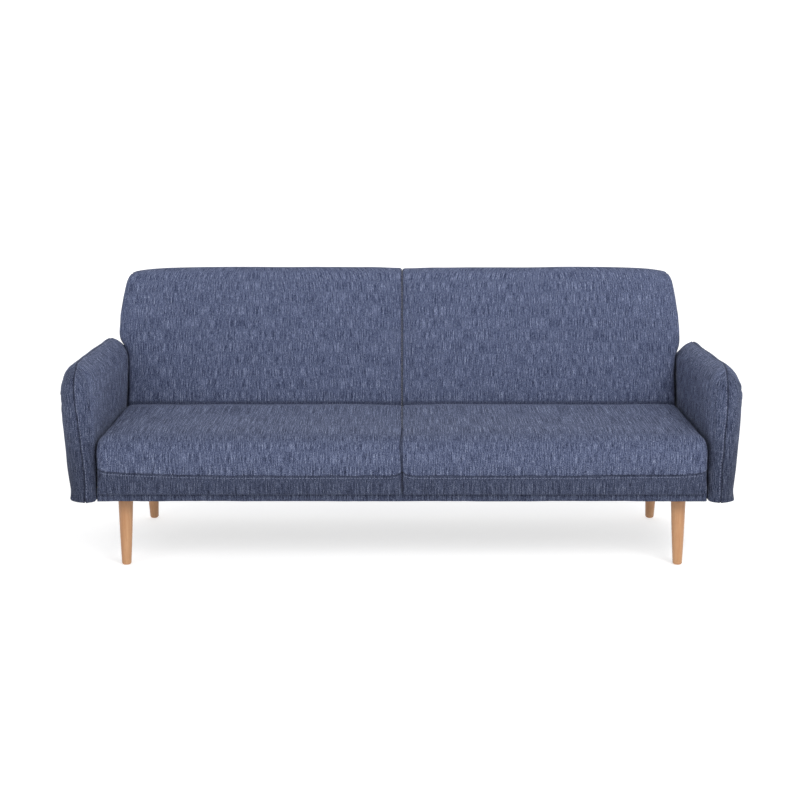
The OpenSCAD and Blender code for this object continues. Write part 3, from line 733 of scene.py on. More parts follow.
def back(side, label, seed):
    body = "back_" + label
    shrink = 0.003
    wider = 0.0080 if side < 0 else -0.0080

    def ear(s):
        return curve(s, *EAR[side])

    def f(p):
        b = to_back(p)
        x, y, s = b[:, 0] * side, b[:, 1], b[:, 2]
        u = np.clip((x - 0.45) / 0.45, -1, 1)
        top = s - (TOP - curve(x - wider * 0.6, DROP_X, DROP) - 0.003 * (1 - sstep(0.0, 0.12, x)) - shrink * 0.6)
        front = -y - (curve(s, FRONT_S, FRONT_N) - 0.0035 * np.abs(u) ** 3 - shrink)
        rear = y - REAR_Y
        low = -0.0640 - s
        outer = x - (ear(s) - shrink * 0.2)
        inner = -0.0016 - x
        a = rmax(top, front, 0.033)
        a = rmax(a, rear, 0.034)
        a = rmax(a, low, 0.036)
        a = rmax(a, outer, 0.015)
        a = rmax(a, inner, 0.0105)
        # room for the hinge plates at both lower rear corners
        k = rmax(-(y + 0.0285), s - 0.0285, 0.001)
        k1 = np.maximum(np.maximum(-0.0285 - y, s - 0.0285), x - 0.0345)
        k2 = np.maximum(np.maximum(-0.0285 - y, s - 0.0285), 0.8295 - x)
        return np.maximum(np.maximum(a, -k1), -k2)

    h = 0.0083
    corners = from_back(np.array([[0, y, s] for y in (-0.075, 0.085) for s in (-0.07, TOP + 0.008)]))
    xs = (0.0, EAR_OUT) if side > 0 else (-EAR_OUT, 0.0)
    p, q = nets(f, (xs[0] - 0.006, corners[:, 1].min(), corners[:, 2].min()), (xs[1] + 0.006, corners[:, 1].max(), corners[:, 2].max()), h)
    b = to_back(p)
    x, y, s = b[:, 0] * side, b[:, 1], b[:, 2]
    pin = np.clip((y > 0.05) | (s < -0.045) | ((s < 0.034) & (y > -0.034) & ((x < 0.045) | (x > 0.820))), 0, 1).astype(float)
    d = inflate(p, q, pin, 0.0075)
    n = normals(p, q)
    hold = 1 - 0.9 * np.exp(-(np.maximum(x - 0.0017, 0) / 0.008) ** 2) * (np.abs(n[:, 0]) > 0.4)
    hold *= 1 - 0.8 * (n[:, 0] * side > 0.5) * (s < 0.30)
    p = p + d * smooth(q, p, hold[:, None], 2)
    p, q = subdivide(p, q)
    n = normals(p, q)
    b = to_back(p)
    x, y, s = b[:, 0] * side, b[:, 1], b[:, 2]
    soft_zone = np.clip((0.06 - y) / 0.03, 0, 1) * sstep(-0.04, 0.0, s)
    wave = noise(p, (0.19, 0.15, 0.17), seed) * 0.0015 + noise(p, (0.075, 0.07, 0.085), seed + 1) * 0.0006
    # diagonal pull lines from the lower outer corner, where the back is squeezed beside the arm
    q1 = np.stack([(x - 0.88) * 0.8 + (s - 0.05) * 0.6, (x - 0.88) * -0.6 + (s - 0.05) * 0.8, y * 0], 1)
    wave = wave + noise(q1, (0.028, 0.16, 1), seed + 2) * 0.0009 * np.exp(-(((x - 0.86) / 0.10) ** 2 + ((s - 0.10) / 0.12) ** 2))
    p = p + n * (wave * soft_zone)[:, None]
    # the pleat tucked at the top outer corner: the fold runs from the front over the top to the rear
    painted_crease_shade = np.zeros(len(p))
    cx, cs = 0.8800 + wider, TOP - 0.0205
    dirx, dirs = 0.79, -0.61                       # along the fold's own line across the corner
    along = (x - cx) * 0.61 + (s - cs) * 0.79
    across = (x - cx) * dirx + (s - cs) * dirs
    tdir = from_back(np.stack([np.full(len(p), side * dirx), np.zeros(len(p)), np.full(len(p), dirs)], 1)) - from_back(np.zeros((len(p), 3)))
    m = np.exp(-(np.maximum(-along - 0.004, 0) / 0.010) ** 2) * sstep(-0.062, -0.040, y) * (1 - sstep(0.060, 0.075, y)) * (np.abs(across) < 0.05)
    p, s2 = groove(p, n, across, tdir, 0.009, 0.0020, 0.0018, 0.0006, m)
    # painted shade in the pleat's fold
    painted_crease_shade = np.maximum(painted_crease_shade, np.exp(-(s2 / 0.0018) ** 2) * m)
    # painted shade down the gap between the two backs, and in a band low on the front where the back rises out from
    # behind the seat
    bb = to_back(p)
    painted_crease_shade = np.maximum(painted_crease_shade, 0.9 * np.exp(-(p[:, 0] / 0.0030) ** 2))
    painted_crease_shade = np.maximum(painted_crease_shade, 0.6 * sstep(0.053, 0.046, bb[:, 2]) * sstep(0.026, 0.036, bb[:, 2]) * (bb[:, 1] < -0.03))
    # inner face beside the centre gap stays on its own side of the middle
    x = p[:, 0] * side
    p[:, 0] = side * np.clip(x, 0.0001, None)
    b = to_back(p)
    x, y, s = b[:, 0] * side, b[:, 1], b[:, 2]
    # keeps clear of the arm beside it, low down
    lim = np.where(s < 0.20, 0.8890, 10.0)
    p[:, 0] = side * np.minimum(x, lim)
    rear = sstep(-0.03, 0.05, y)
    sx = -1 + 2 * sstep(0.30, 0.60, x)
    uv = np.stack([p[:, 0] + side * (y + 0.06) * sx, (y + 0.06) + (s - S) * (1 - 2 * rear)], 1)
    o = fabric_piece("back_cushion_" + label, p, q, uv, painted_crease_shade, M_BACK)
    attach(o, body)
    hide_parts("back_cover_" + label, "back_foam_" + label)

    # rear panel: a flat sheet with a folded, slightly scalloped hem, tacked on over the cover's raw edges
    inset = 0.013

    def outline(t):
        """Points round the panel, from the inner lower corner, counter-clockwise in (x, s)."""
        pts = []
        x0, s0, s1 = 0.0018 + inset, -0.0505 + inset * 0.4, S - 0.0370
        for xx in np.arange(0.036 + inset * 0.3, 0.828 - inset * 0.3, 0.006):
            pts.append((xx, s0))
        pts += [(0.828 - inset * 0.3, a) for a in np.arange(s0 + 0.006, 0.030 + inset * 0.5, 0.006)]
        pts += [(a, 0.030 + inset * 0.5) for a in np.arange(0.832, 0.8835 - inset, 0.006)]
        for ss in np.arange(0.030 + inset * 0.5, s1 - 0.018, 0.006):
            pts.append((float(ear(np.array([ss]))[0]) - inset, ss))
        xe = pts[-1][0]
        for a in np.linspace(0, math.pi / 2, 8)[1:]:
            pts.append((xe - 0.018 + 0.018 * math.cos(a), s1 - 0.018 + 0.018 * math.sin(a)))
        for xx in np.arange(xe - 0.024, x0 + 0.010, -0.006):
            pts.append((xx, s1))
        for a in np.linspace(math.pi / 2, math.pi, 5)[1:]:
            pts.append((x0 + 0.010 + 0.010 * math.cos(a), s1 - 0.010 + 0.010 * math.sin(a)))
        for ss in np.arange(s1 - 0.016, 0.030 + inset * 0.5, -0.006):
            pts.append((x0, ss))
        pts += [(a, 0.030 + inset * 0.5) for a in np.arange(x0 + 0.006, 0.036 + inset * 0.3, 0.006)]
        pts += [(0.036 + inset * 0.3, a) for a in np.arange(0.030 + inset * 0.5 - 0.006, s0, -0.006)]
        return np.array(pts)

    loop = outline(0)
    nxt, prv = np.roll(loop, -1, 0), np.roll(loop, 1, 0)
    tang = unit(np.concatenate([nxt - prv, np.zeros((len(loop), 1))], 1))[:, :2]
    inward = np.stack([-tang[:, 1], tang[:, 0]], 1)
    for _ in range(4):
        inward = (np.roll(inward, 1, 0) + 2 * inward + np.roll(inward, -1, 0)) / 4
    k = len(loop)
    scal = noise(np.stack([np.arange(k) * 0.006, np.zeros(k), np.zeros(k)], 1), (0.03, 1, 1), seed + 9)
    rings, fac = [], []
    for off, yy in [(0.0, REAR_Y - 0.0025), (0.0, REAR_Y + 0.0002), (0.0008, REAR_Y + 0.0012), (0.0045, REAR_Y + 0.0016), (0.010, REAR_Y + 0.0011), (0.0125, REAR_Y + 0.0002), (0.016, REAR_Y + 0.0004)]:
        pt = loop + inward * (off + (scal * 0.0006)[:, None] * (off < 0.01))
        rings.append(np.stack([side * pt[:, 0], np.full(k, yy) + scal * 0.0003 * (0 < off < 0.014), pt[:, 1]], 1))
    verts = np.concatenate(rings)
    for a in range(len(rings) - 1):
        for i in range(k):
            j = (i + 1) % k
            fac.append([a * k + i, a * k + j, (a + 1) * k + j, (a + 1) * k + i])
    import bmesh
    bm = bmesh.new()
    vs = [bm.verts.new(v) for v in verts]
    for fc in fac:
        bm.faces.new([vs[i] for i in fc])
    ring = [vs[(len(rings) - 1) * k + i] for i in range(k)]
    cap_face = bm.faces.new(ring)
    under = bm.faces.new([vs[i] for i in range(k)][::-1])
    cutlines = []
    # cross the flat middle with a grid so that it can ripple
    for axis, step, lo_, hi_ in (("x", 0.03, 0.03, 0.90), ("s", 0.03, -0.03, S - 0.05)):
        for c in np.arange(lo_, hi_, step):
            co = (side * c, 0, 0) if axis == "x" else (0, 0, c)
            no = (1, 0, 0) if axis == "x" else (0, 0, 1)
            geom = [g for g in bm.faces if all(v.co.y > REAR_Y + 0.0003 and v.co.y < REAR_Y + 0.0009 for v in g.verts)]
            ed = list({e for g in geom for e in g.edges})
            ve = list({v for g in geom for v in g.verts})
            bmesh.ops.bisect_plane(bm, geom=geom + ed + ve, plane_co=co, plane_no=no)
    bmesh.ops.recalc_face_normals(bm, faces=bm.faces)
    me = bpy.data.meshes.new("rear_panel_" + label)
    bm.to_mesh(me)
    bm.free()
    bp = np.empty(len(me.vertices) * 3, np.float32)
    me.vertices.foreach_get("co", bp)
    bp = bp.reshape(-1, 3).astype(float)
    mid = (np.abs(bp[:, 1] - REAR_Y - 0.0004) < 0.0003)
    bp[:, 1] += np.where(mid, 0.0006 + 0.0008 * noise(bp, (0.11, 1, 0.15), seed + 4), 0)
    world = from_back(bp)
    me.vertices.foreach_set("co", np.ascontiguousarray(world, np.float32).ravel())
    me.polygons.foreach_set("use_smooth", [True] * len(me.polygons))
    attribute(me, "weave", np.stack([bp[:, 0] + 0.4, bp[:, 2] + 0.7, np.zeros(len(bp))], 1), "FLOAT_VECTOR")
    # painted shade along the hem's fold edge, left off the panel's flat middle
    attribute(me, "painted_crease_shade", 0.55 * np.exp(-((bp[:, 1] - REAR_Y) / 0.0006) ** 2) * ~mid)
    attribute(me, "painted_shade", np.ones(len(bp)))
    attribute(me, "slub", np.stack([bp[:, 0], bp[:, 2], np.zeros(len(bp))], 1), "FLOAT_VECTOR")
    me.materials.append(M_BACK)
    me.update()
    r = object_of("rear_panel_" + label, me)
    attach(r, body)
    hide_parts("back_rear_panel_" + label)
    # tacking stitches round the hem
    pl = loop + inward * 0.0062
    sel = np.arange(k)
    ring_pts = from_back(np.stack([side * pl[sel, 0], np.full(k, REAR_Y + 0.0016), pl[sel, 1]], 1))
    ring_pts = np.concatenate([ring_pts, ring_pts[:1]])
    nn = np.tile(from_back(np.array([[0, 1.0, 0]])) - from_back(np.array([[0, 0, 0.0]])), (len(ring_pts), 1))
    st = stitches("rear_panel_stitching_" + label, ring_pts, nn, M_THREAD, seed=seed + 8)
    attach(st, body)
    return o


# ---------------------------------------------------------------- arms
def arm(side, label, seed):
    r_q = {(-1, 1): 0.086, (1, 1): 0.062, (-1, -1): 0.016, (1, -1): 0.022}
    bottom = ARM_B - 0.009
    # the two pads are not quite twins: the right one sits lower and slimmer
    arm_top, arm_out = (ARM_T - 0.0075, ARM_OUT - 0.0035) if side < 0 else (ARM_T - 0.0195, ARM_OUT - 0.0060)
    cy, cz = (ARM_F + ARM_R) / 2, (bottom + arm_top) / 2
    hy, hz = (ARM_R - ARM_F) / 2, (arm_top - bottom) / 2
    shrink = 0.0025
    top_x, low_x = (0.9420, 0.9205) if side < 0 else (0.9370, 0.9265)

    def outline(y, z):
        """Signed distance to the arm's outline seen from the side, and how much it faces sideways there."""
        dy, dz = y - cy, z - cz
        r = np.where(dy < 0, np.where(dz > 0, r_q[(-1, 1)], r_q[(-1, -1)]), np.where(dz > 0, r_q[(1, 1)], r_q[(1, -1)]))
        qy, qz = np.abs(dy) - hy + r, np.abs(dz) - hz + r
        d = np.minimum(np.maximum(qy, qz), 0) + np.hypot(np.maximum(qy, 0), np.maximum(qz, 0)) - r
        py_, pz_ = np.maximum(qy, 0), np.maximum(qz, 0)
        ln = np.hypot(py_, pz_)
        ny = np.where(ln > 1e-9, py_ / np.maximum(ln, 1e-9), (qy > qz).astype(float))
        return d, ny ** 2, np.sign(dy), np.sign(dz)

    def ridge(y, z):
        """Where the seam between the two panels runs."""
        front_x = low_x + (top_x - low_x) * sstep(0.26, 0.57, z)
        return front_x + (0.9475 - front_x) * sstep(0.0, 0.16, y)

    def f(p):
        x, y, z = p[:, 0] * side, p[:, 1] + YO, p[:, 2]
        d, ny, sy, sz = outline(y, z)
        d = d + shrink
        xr = ridge(y, z)
        inside = x < xr
        length = (np.where(sy < 0, np.where(inside, 0.046 - 0.022 * sstep(0.34, 0.25, z), 0.040), np.where(inside, 0.024, 0.040)) * ny
                  + np.where(sz > 0, np.where(inside, 0.074, 0.062), np.where(inside, 0.006, 0.010)) * (1 - ny))
        t_in = xr - (ARM_IN + 0.0005 - 0.0030 * np.maximum(sstep(0.30, 0.50, y), sstep(0.36, 0.29, z)))
        t_out = arm_out + 0.0005 - 0.013 * sstep(0.52, 0.22, z) - (0.008 if side < 0 else 0.004) * sstep(0.32, 0.19, z) - xr
        t = np.where(inside, t_in, t_out) - shrink * 0.6
        u = np.maximum(1 + d / length, 0)
        return ((np.abs(x - xr) / t) ** np.where(inside, 1.85, 2.1) + u ** 2 - 1) * 0.024

    h = 0.0056
    xs = (ARM_IN, arm_out) if side > 0 else (-arm_out, -ARM_IN)
    p, q = nets(f, (xs[0] - 0.008, -YO + ARM_F - 0.004, bottom - 0.004), (xs[1] + 0.006, -YO + ARM_R + 0.004, arm_top + 0.004), h)
    x, y, z = p[:, 0] * side, p[:, 1] + YO, p[:, 2]
    d, ny, sy, sz = outline(y, z)
    xr = ridge(y, z)
    pin = np.clip((z < bottom + 0.008) | (np.abs(x - xr) < 0.004) & (d > -0.012), 0, 1).astype(float)
    mv = inflate(p, q, pin, 0.0050)
    inner_face = (normals(p, q)[:, 0] * side < -0.75)
    p = p + mv * (1 - 0.75 * inner_face)[:, None]
    p, q = subdivide(p, q)
    n = normals(p, q)
    x, y, z = p[:, 0] * side, p[:, 1] + YO, p[:, 2]
    d, ny, sy, sz = outline(y, z)
    xr = ridge(y, z)
    s = (x - xr)
    edge = np.exp(-np.maximum(-d, 0) / 0.030)          # 1 at the outline, 0 on the flat panels
    # position round the outline, for puckers that cross the seam
    ang = np.arctan2(z - (arm_top - 0.09), y - (ARM_F + 0.09))
    corner = np.exp(-((np.hypot(y - (ARM_F + 0.0), z - (arm_top - 0.0)) - 0.03) / 0.07) ** 2)
    run = y * ny * 0 + np.where(ny > 0.5, z, y) + np.where((ny > 0.02) & (ny < 0.98), (ang * 0.088), 0)
    ridge_wander = noise(np.stack([y, z, z * 0], 1), (0.045, 0.045, 1), seed + 2) * 0.0011
    s = s + ridge_wander
    pk = noise(np.stack([y, z, np.sign(s) * 3.0], 1), (0.016, 0.016, 1), seed + 3)
    p = p + n * (pk * 0.0007 * (0.6 + 1.1 * corner) * np.exp(-np.abs(s) / 0.012) * edge)[:, None]
    wave = noise(p, (0.06, 0.12, 0.11), seed) * 0.0013 + noise(p, (0.03, 0.05, 0.045), seed + 1) * 0.0006
    # two or three soft folds that fan out of the top front corner of each panel
    fold = noise(np.stack([ang * 0.10, z * 0, z * 0 + side], 1), (0.022, 1, 1), seed + 7) * np.exp(-((np.hypot(y - ARM_F - 0.06, z - arm_top + 0.07) - 0.03) / 0.05) ** 2) * 0.0012
    p = p + n * ((wave + fold) * sstep(bottom, bottom + 0.03, z))[:, None]
    # scalloped turn-under along the bottom
    sc = noise(np.stack([y, x, z * 0], 1), (0.022, 0.03, 1), seed + 5)
    p = p + n * ((np.minimum(sc, 0.25) * 0.0014) * sstep(bottom + 0.022, bottom + 0.004, z))[:, None]
    t = np.tile(np.array([side * 1.0, 0, 0]), (len(p), 1))
    mask = sstep(-0.030, -0.016, d)
    p, s2 = groove(p, n, s, t, 0.0085, 0.0026, 0.0014, 0.0012, mask)
    # painted shade in the seam's groove and along the turned-under bottom edge
    painted_crease_shade = 1.1 * np.exp(-(s2 / 0.0015) ** 2) * mask
    painted_crease_shade = np.maximum(painted_crease_shade, 0.3 * sstep(bottom + 0.006, bottom, z))
    # the inner panel stays clear of the backs that swing beside it
    x = p[:, 0] * side
    p[:, 0] = side * np.clip(x, ARM_IN - 0.0035, arm_out + 0.006)
    x, y, z = p[:, 0] * side, p[:, 1] + YO, p[:, 2]
    dx = np.where(x < xr, x - ARM_IN, arm_out - x)
    wf = 1 - sstep(0.0, 0.09, y)
    wt = sstep(arm_top - 0.16, arm_top - 0.03, z)
    uv = np.stack([y - dx * wf + np.where(x < xr, 0.0, 0.77) + side, z + dx * wt + np.where(x < xr, 0.0, 0.39)], 1)
    n = normals(p, q)
    # painted shade: darker towards the bottom, on faces that turn to the front, and a little on the outer panel, where
    # less light falls
    painted_shade = (0.62 + 0.42 * sstep(0.24, 0.50, z)) * (1 - 0.30 * sstep(-0.25, -0.55, n[:, 1])) * (1 - 0.12 * (x > xr))
    slub = np.stack([0.45 * y - dx * wf + np.where(x < xr, 0.0, 0.77) + side, uv[:, 1]], 1)
    o = fabric_piece("arm_pad_" + label, p, q, uv, painted_crease_shade, M_ARM, painted_shade, slub)
    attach(o, "base")
    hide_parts("arm_cover_inner_" + label, "arm_cover_outer_" + label, "arm_foam_" + label)
    # stitch row on the inner panel, beside the seam, all round what shows
    pts = []
    r1, r2 = r_q[(-1, 1)], r_q[(1, 1)]
    for zz in np.arange(bottom + 0.02, arm_top - r1, 0.004):
        pts.append((ARM_F, zz))
    for a in np.linspace(math.pi, math.pi / 2, 34):
        pts.append((ARM_F + r1 + r1 * math.cos(a), arm_top - r1 + r1 * math.sin(a)))
    for yy in np.arange(ARM_F + r1 + 0.004, ARM_R - r2, 0.004):
        pts.append((yy, arm_top))
    for a in np.linspace(math.pi / 2, 0, 26):
        pts.append((ARM_R - r2 + r2 * math.cos(a), arm_top - r2 + r2 * math.sin(a)))
    for zz in np.arange(arm_top - r2 - 0.004, bottom + 0.02, -0.004):
        pts.append((ARM_R, zz))
    pts = np.array(pts)
    wander = noise(np.stack([pts[:, 0], pts[:, 1], pts[:, 0] * 0], 1), (0.045, 0.045, 1), seed + 2) * 0.0011
    path = np.stack([side * (ridge(pts[:, 0], pts[:, 1]) - wander - 0.0068), pts[:, 0] - YO, pts[:, 1]], 1)
    at, nn = snap(p, q, path)
    st = stitches("arm_stitching_" + label, at, nn, M_THREAD, seed=seed + 1)
    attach(st, "base")
    return o


# ---------------------------------------------------------------- thin covers
def strip_cover(name, nodes, profile, x0, x1, n_out, seed, mat, ripple):
    """A thin sheet pulled round a rail: the profile's points (y, z) run along the cloth; ripple gives its waves."""
    step = 0.008
    xs = np.linspace(x0, x1, int((x1 - x0) / step) + 1)
    pr = np.array(profile, float)
    d = np.gradient(pr, axis=0)
    nn = np.stack([-d[:, 1], d[:, 0]], 1)
    nn /= np.linalg.norm(nn, axis=1, keepdims=True)
    nn *= n_out
    arc = np.concatenate([[0], np.cumsum(np.linalg.norm(np.diff(pr, axis=0), axis=1))])
    verts, uv = [], []
    for layer, off in ((0, 0.0), (1, -0.0014)):
        for i, x in enumerate(xs):
            for j in range(len(pr)):
                w = ripple(x, arc[j], pr[j])
                q = pr[j] + nn[j] * (off + w)
                verts.append((x, q[0], q[1]))
                uv.append((x + 0.1, arc[j], 0))
    m, k = len(xs), len(pr)
    faces = []
    for i in range(m - 1):
        for j in range(k - 1):
            a = i * k + j
            faces.append([a, a + k, a + k + 1, a + 1])
            b = m * k + a
            faces.append([b, b + 1, b + k + 1, b + k])
    for i in range(m - 1):
        for j in (0, k - 1):
            a = i * k + j
            f_ = [a, a + m * k, a + m * k + k, a + k]
            faces.append(f_ if j == 0 else f_[::-1])
    for i in (0, m - 1):
        for j in range(k - 1):
            a = i * k + j
            f_ = [a, a + 1, a + 1 + m * k, a + m * k]
            faces.append(f_ if i == 0 else f_[::-1])
    faces = np.array(faces)
    p = np.array(verts)
    vol = 0.0
    a, b, c, dd = (p[faces[:, i]] for i in range(4))
    vol = (a * np.cross(b, c)).sum() + (a * np.cross(c, dd)).sum()
    if vol < 0:
        faces = faces[:, ::-1]
    uv = np.array(uv)
    # painted shade: the rail fabric is painted darker, as shade low down under the cushions
    o = fabric_piece(name, p, faces, uv, np.zeros(len(p)), mat, 0.54)
    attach(o, "base")
    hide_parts(*nodes)
    return o


def arc_points(cy, cz, r, a0, a1, n):
    return [(cy + r * math.cos(math.radians(a0 + (a1 - a0) * i / n)), cz + r * math.sin(math.radians(a0 + (a1 - a0) * i / n))) for i in range(n + 1)]


def rails():
    lo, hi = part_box("front_rail_cover")
    y0, y1, z0, z1, xe = lo.y, hi.y, lo.z, hi.z, hi.x
    prof = ([(y0, z1 - 0.001)] + [(y0, z) for z in np.linspace(z1 - 0.006, z0 + 0.006, 7)] + arc_points(y0 + 0.004, z0 + 0.004, 0.004, 180, 270, 4)
            + [(y, z0) for y in np.linspace(y0 + 0.008, y1, 7)])

    def wave(x, a, pt):
        v = np.array([[x, a, 0.0]])
        end = math.exp(-(xe - abs(x)) / 0.10)
        low = math.exp(-abs(a - 0.040) / 0.012)
        return float(noise(v, (0.020, 0.03, 1), 31)[0]) * 0.0011 * low * (0.35 + end) + float(noise(v, (0.09, 0.05, 1), 33)[0]) * 0.0006

    strip_cover("front_rail_fabric", ["front_rail_cover"], prof, lo.x, hi.x, -1, 31, M_RAIL, wave)
    lo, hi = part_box("rear_rail_cover")
    y0, y1, z0, z1 = lo.y, hi.y, lo.z, hi.z
    prof = ([(y1, z1 - 0.001)] + [(y1, z) for z in np.linspace(z1 - 0.006, z0 + 0.006, 7)] + arc_points(y1 - 0.004, z0 + 0.004, 0.004, 0, -90, 4)
            + [(y, z0) for y in np.linspace(y1 - 0.008, y1 - 0.040, 6)])

    def wave2(x, a, pt):
        v = np.array([[x, a, 5.0]])
        return float(noise(v, (0.03, 0.03, 1), 37)[0]) * 0.0007 * math.exp(-abs(a - 0.040) / 0.015) + float(noise(v, (0.09, 0.05, 1), 38)[0]) * 0.0005

    strip_cover("rear_rail_fabric", ["rear_rail_cover"], prof, lo.x, hi.x, 1, 37, M_RAIL, wave2)


def rail_ends():
    """The rails' fabric wraps round the side rails' ends: one small folded patch at each corner."""
    lo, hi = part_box("rear_rail_cover")
    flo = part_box("front_rail_cover")[0]
    for side, label, y_a, y_b in ((-1, "rear_left", hi.y - 0.0875, hi.y - 0.001), (1, "rear_right", hi.y - 0.0875, hi.y - 0.001),
                                  (-1, "front_left", flo.y + 0.0015, flo.y + 0.088), (1, "front_right", flo.y + 0.0015, flo.y + 0.088)):
        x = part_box("front_rail_cover")[1].x + 0.0006
        ys = np.linspace(y_a, y_b, 14)
        zs = np.linspace(lo.z + 0.0008, hi.z + (0.0035 if y_a < 0 else -0.0005), 9)
        verts, faces, uv = [], [], []
        for layer, off in ((0, 0.0002), (1, -0.0012)):
            for i, y in enumerate(ys):
                for j, z in enumerate(zs):
                    w = 0.0006 * float(noise(np.array([[y, z, side * 2.0]]), (0.03, 0.02, 1), 41)[0])
                    edge = -0.0010 * (math.exp(-(z - zs[0]) / 0.003) + math.exp(-(y - ys[0]) / 0.003)) if layer == 0 else 0
                    verts.append((side * (x + off + max(edge + w, -0.001)), y, z))
                    uv.append((y + 2, z, 0))
        m, k = len(ys), len(zs)
        for i in range(m - 1):
            for j in range(k - 1):
                a = i * k + j
                faces.append([a, a + k, a + k + 1, a + 1])
                b = m * k + a
                faces.append([b, b + 1, b + k + 1, b + k])
        for i in range(m - 1):
            for j in (0, k - 1):
                a = i * k + j
                f_ = [a, a + m * k, a + m * k + k, a + k]
                faces.append(f_ if j == 0 else f_[::-1])
        for i in (0, m - 1):
            for j in range(k - 1):
                a = i * k + j
                f_ = [a, a + 1, a + 1 + m * k, a + m * k]
                faces.append(f_ if i == 0 else f_[::-1])
        faces = np.array(faces)
        if side < 0:
            faces = faces[:, ::-1]
        # painted shade: the patches are painted darker, as shade low down under the arms
        o = fabric_piece("rail_end_fabric_" + label, np.array(verts), faces, np.array(uv), np.zeros(len(verts)), M_RAIL, 0.48)
        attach(o, "base")


def dust():
    lo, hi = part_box("dust_cover")
    legs = {}
    holes = []
    for part in ("leg_front_left", "leg_front_right", "leg_rear_left", "leg_rear_right"):
        a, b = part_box(part)
        co = np.array([v.co for v in frame["nodes"][part].data.vertices])
        t = co[co[:, 2] > 0.19]
        c = (t.min(0) + t.max(0)) / 2
        holes.append((c[0], c[1], (t[:, 0].max() - t[:, 0].min()) / 2 + 0.004))
    st = 0.0125
    xs = np.linspace(lo.x + 0.001, hi.x - 0.001, int((hi.x - lo.x) / st) + 1)
    ys = np.linspace(lo.y, hi.y, int((hi.y - lo.y) / st) + 1)
    gx, gy = np.meshgrid(xs, ys, indexing="ij")
    base_p = np.stack([gx.ravel(), gy.ravel(), np.zeros(gx.size)], 1)
    # points near a leg are drawn onto the round cut round it
    drop = np.zeros(len(base_p), bool)
    for cx, cy, r in holes:
        d = base_p[:, :2] - np.array([cx, cy])
        ln = np.hypot(d[:, 0], d[:, 1])
        drop |= ln < r - 0.003
        near = (ln >= r - 0.003) & (ln < r + 0.009)
        base_p[near, :2] = np.array([cx, cy]) + d[near] / ln[near][:, None] * r
    ax = np.abs(base_p[:, 0])
    fx = np.clip(np.minimum(ax - 0.02, 0.846 - ax) / 0.41, 0, 1)
    yy = base_p[:, 1]
    fy = np.clip(np.minimum(yy - lo.y, hi.y - yy) / 0.26, 0, 1)
    sag = -0.0065 * np.sqrt(fx) * np.sqrt(fy)
    rip = noise(np.stack([base_p[:, 0], base_p[:, 1], ax * 0], 1), (0.05, 0.11, 1), 51) * 0.0010 * np.minimum(1, 0.15 + fx * 3)
    z = hi.z - 0.0004 - 0.0006 + sag + np.minimum(rip, 0.0002)
    keep = ~drop
    k = len(ys)
    quads = []
    for i in range(len(xs) - 1):
        a = i * k + np.arange(k - 1)
        quads.append(np.stack([a, a + k, a + k + 1, a + 1], 1))
    quads = np.concatenate(quads)
    quads = quads[keep[quads].all(1)]
    used = np.unique(quads)
    back_ = np.full(len(base_p), -1)
    back_[used] = np.arange(len(used))
    quads = back_[quads]
    top = np.stack([base_p[used, 0], base_p[used, 1], z[used]], 1)
    low = top - np.array([0, 0, 0.0007])
    m = len(top)
    e = np.concatenate([quads[:, [0, 1]], quads[:, [1, 2]], quads[:, [2, 3]], quads[:, [3, 0]]])
    key = np.sort(e, 1)
    _, inv, cnt = np.unique(key, axis=0, return_inverse=True, return_counts=True)
    rim = e[cnt[inv.ravel()] == 1]
    faces = np.concatenate([quads, quads[:, ::-1] + m, np.stack([rim[:, 1], rim[:, 0], rim[:, 0] + m, rim[:, 1] + m], 1)])
    o = object_of("dust_sheet", mesh_of("dust_sheet", np.concatenate([top, low]), faces))
    o.data.materials.append(M_DUST)
    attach(o, "base")
    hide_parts("dust_cover")
    # staples along the rear edge and both sides, into the rails
    pts, fcs = [], []

    def staple(x, y, ang):
        c, s_ = math.cos(ang), math.sin(ang)
        n0 = len(pts)
        prof = [(-0.0055, 0.0009), (-0.0052, -0.0004), (0.0052, -0.0004), (0.0055, 0.0009)]
        zb = hi.z - 0.0021
        for (u, w) in prof:
            for (dv, dw) in ((-0.0006, -0.00035), (0.0006, -0.00035), (0.0006, 0.00035), (-0.0006, 0.00035)):
                pts.append((x + u * c - dv * s_, y + u * s_ + dv * c, zb + w + dw))
        for i in range(3):
            for j in range(4):
                a, b = n0 + i * 4 + j, n0 + i * 4 + (j + 1) % 4
                fcs.append([a, b, b + 4, a + 4])
        fcs.append([n0 + 3, n0 + 2, n0 + 1, n0])
        fcs.append([n0 + 12, n0 + 13, n0 + 14, n0 + 15])

    for x in np.arange(-0.84, 0.85, 0.06):
        for y in (lo.y + 0.012 - 0.014, hi.y - 0.012 + 0.014):
            pass
    for x in np.arange(-0.83, 0.84, 0.055):
        staple(x, hi.y - 0.006, 0.25)
    for y in np.arange(lo.y + 0.05, hi.y - 0.05, 0.055):
        for sx in (-1, 1):
            staple(sx * (hi.x - 0.012), y, math.pi / 2 + 0.2)
    st_o = object_of("dust_sheet_staples", mesh_of("dust_sheet_staples", pts, fcs, False))
    st_o.data.materials.append(M_STEEL)
    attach(st_o, "base")


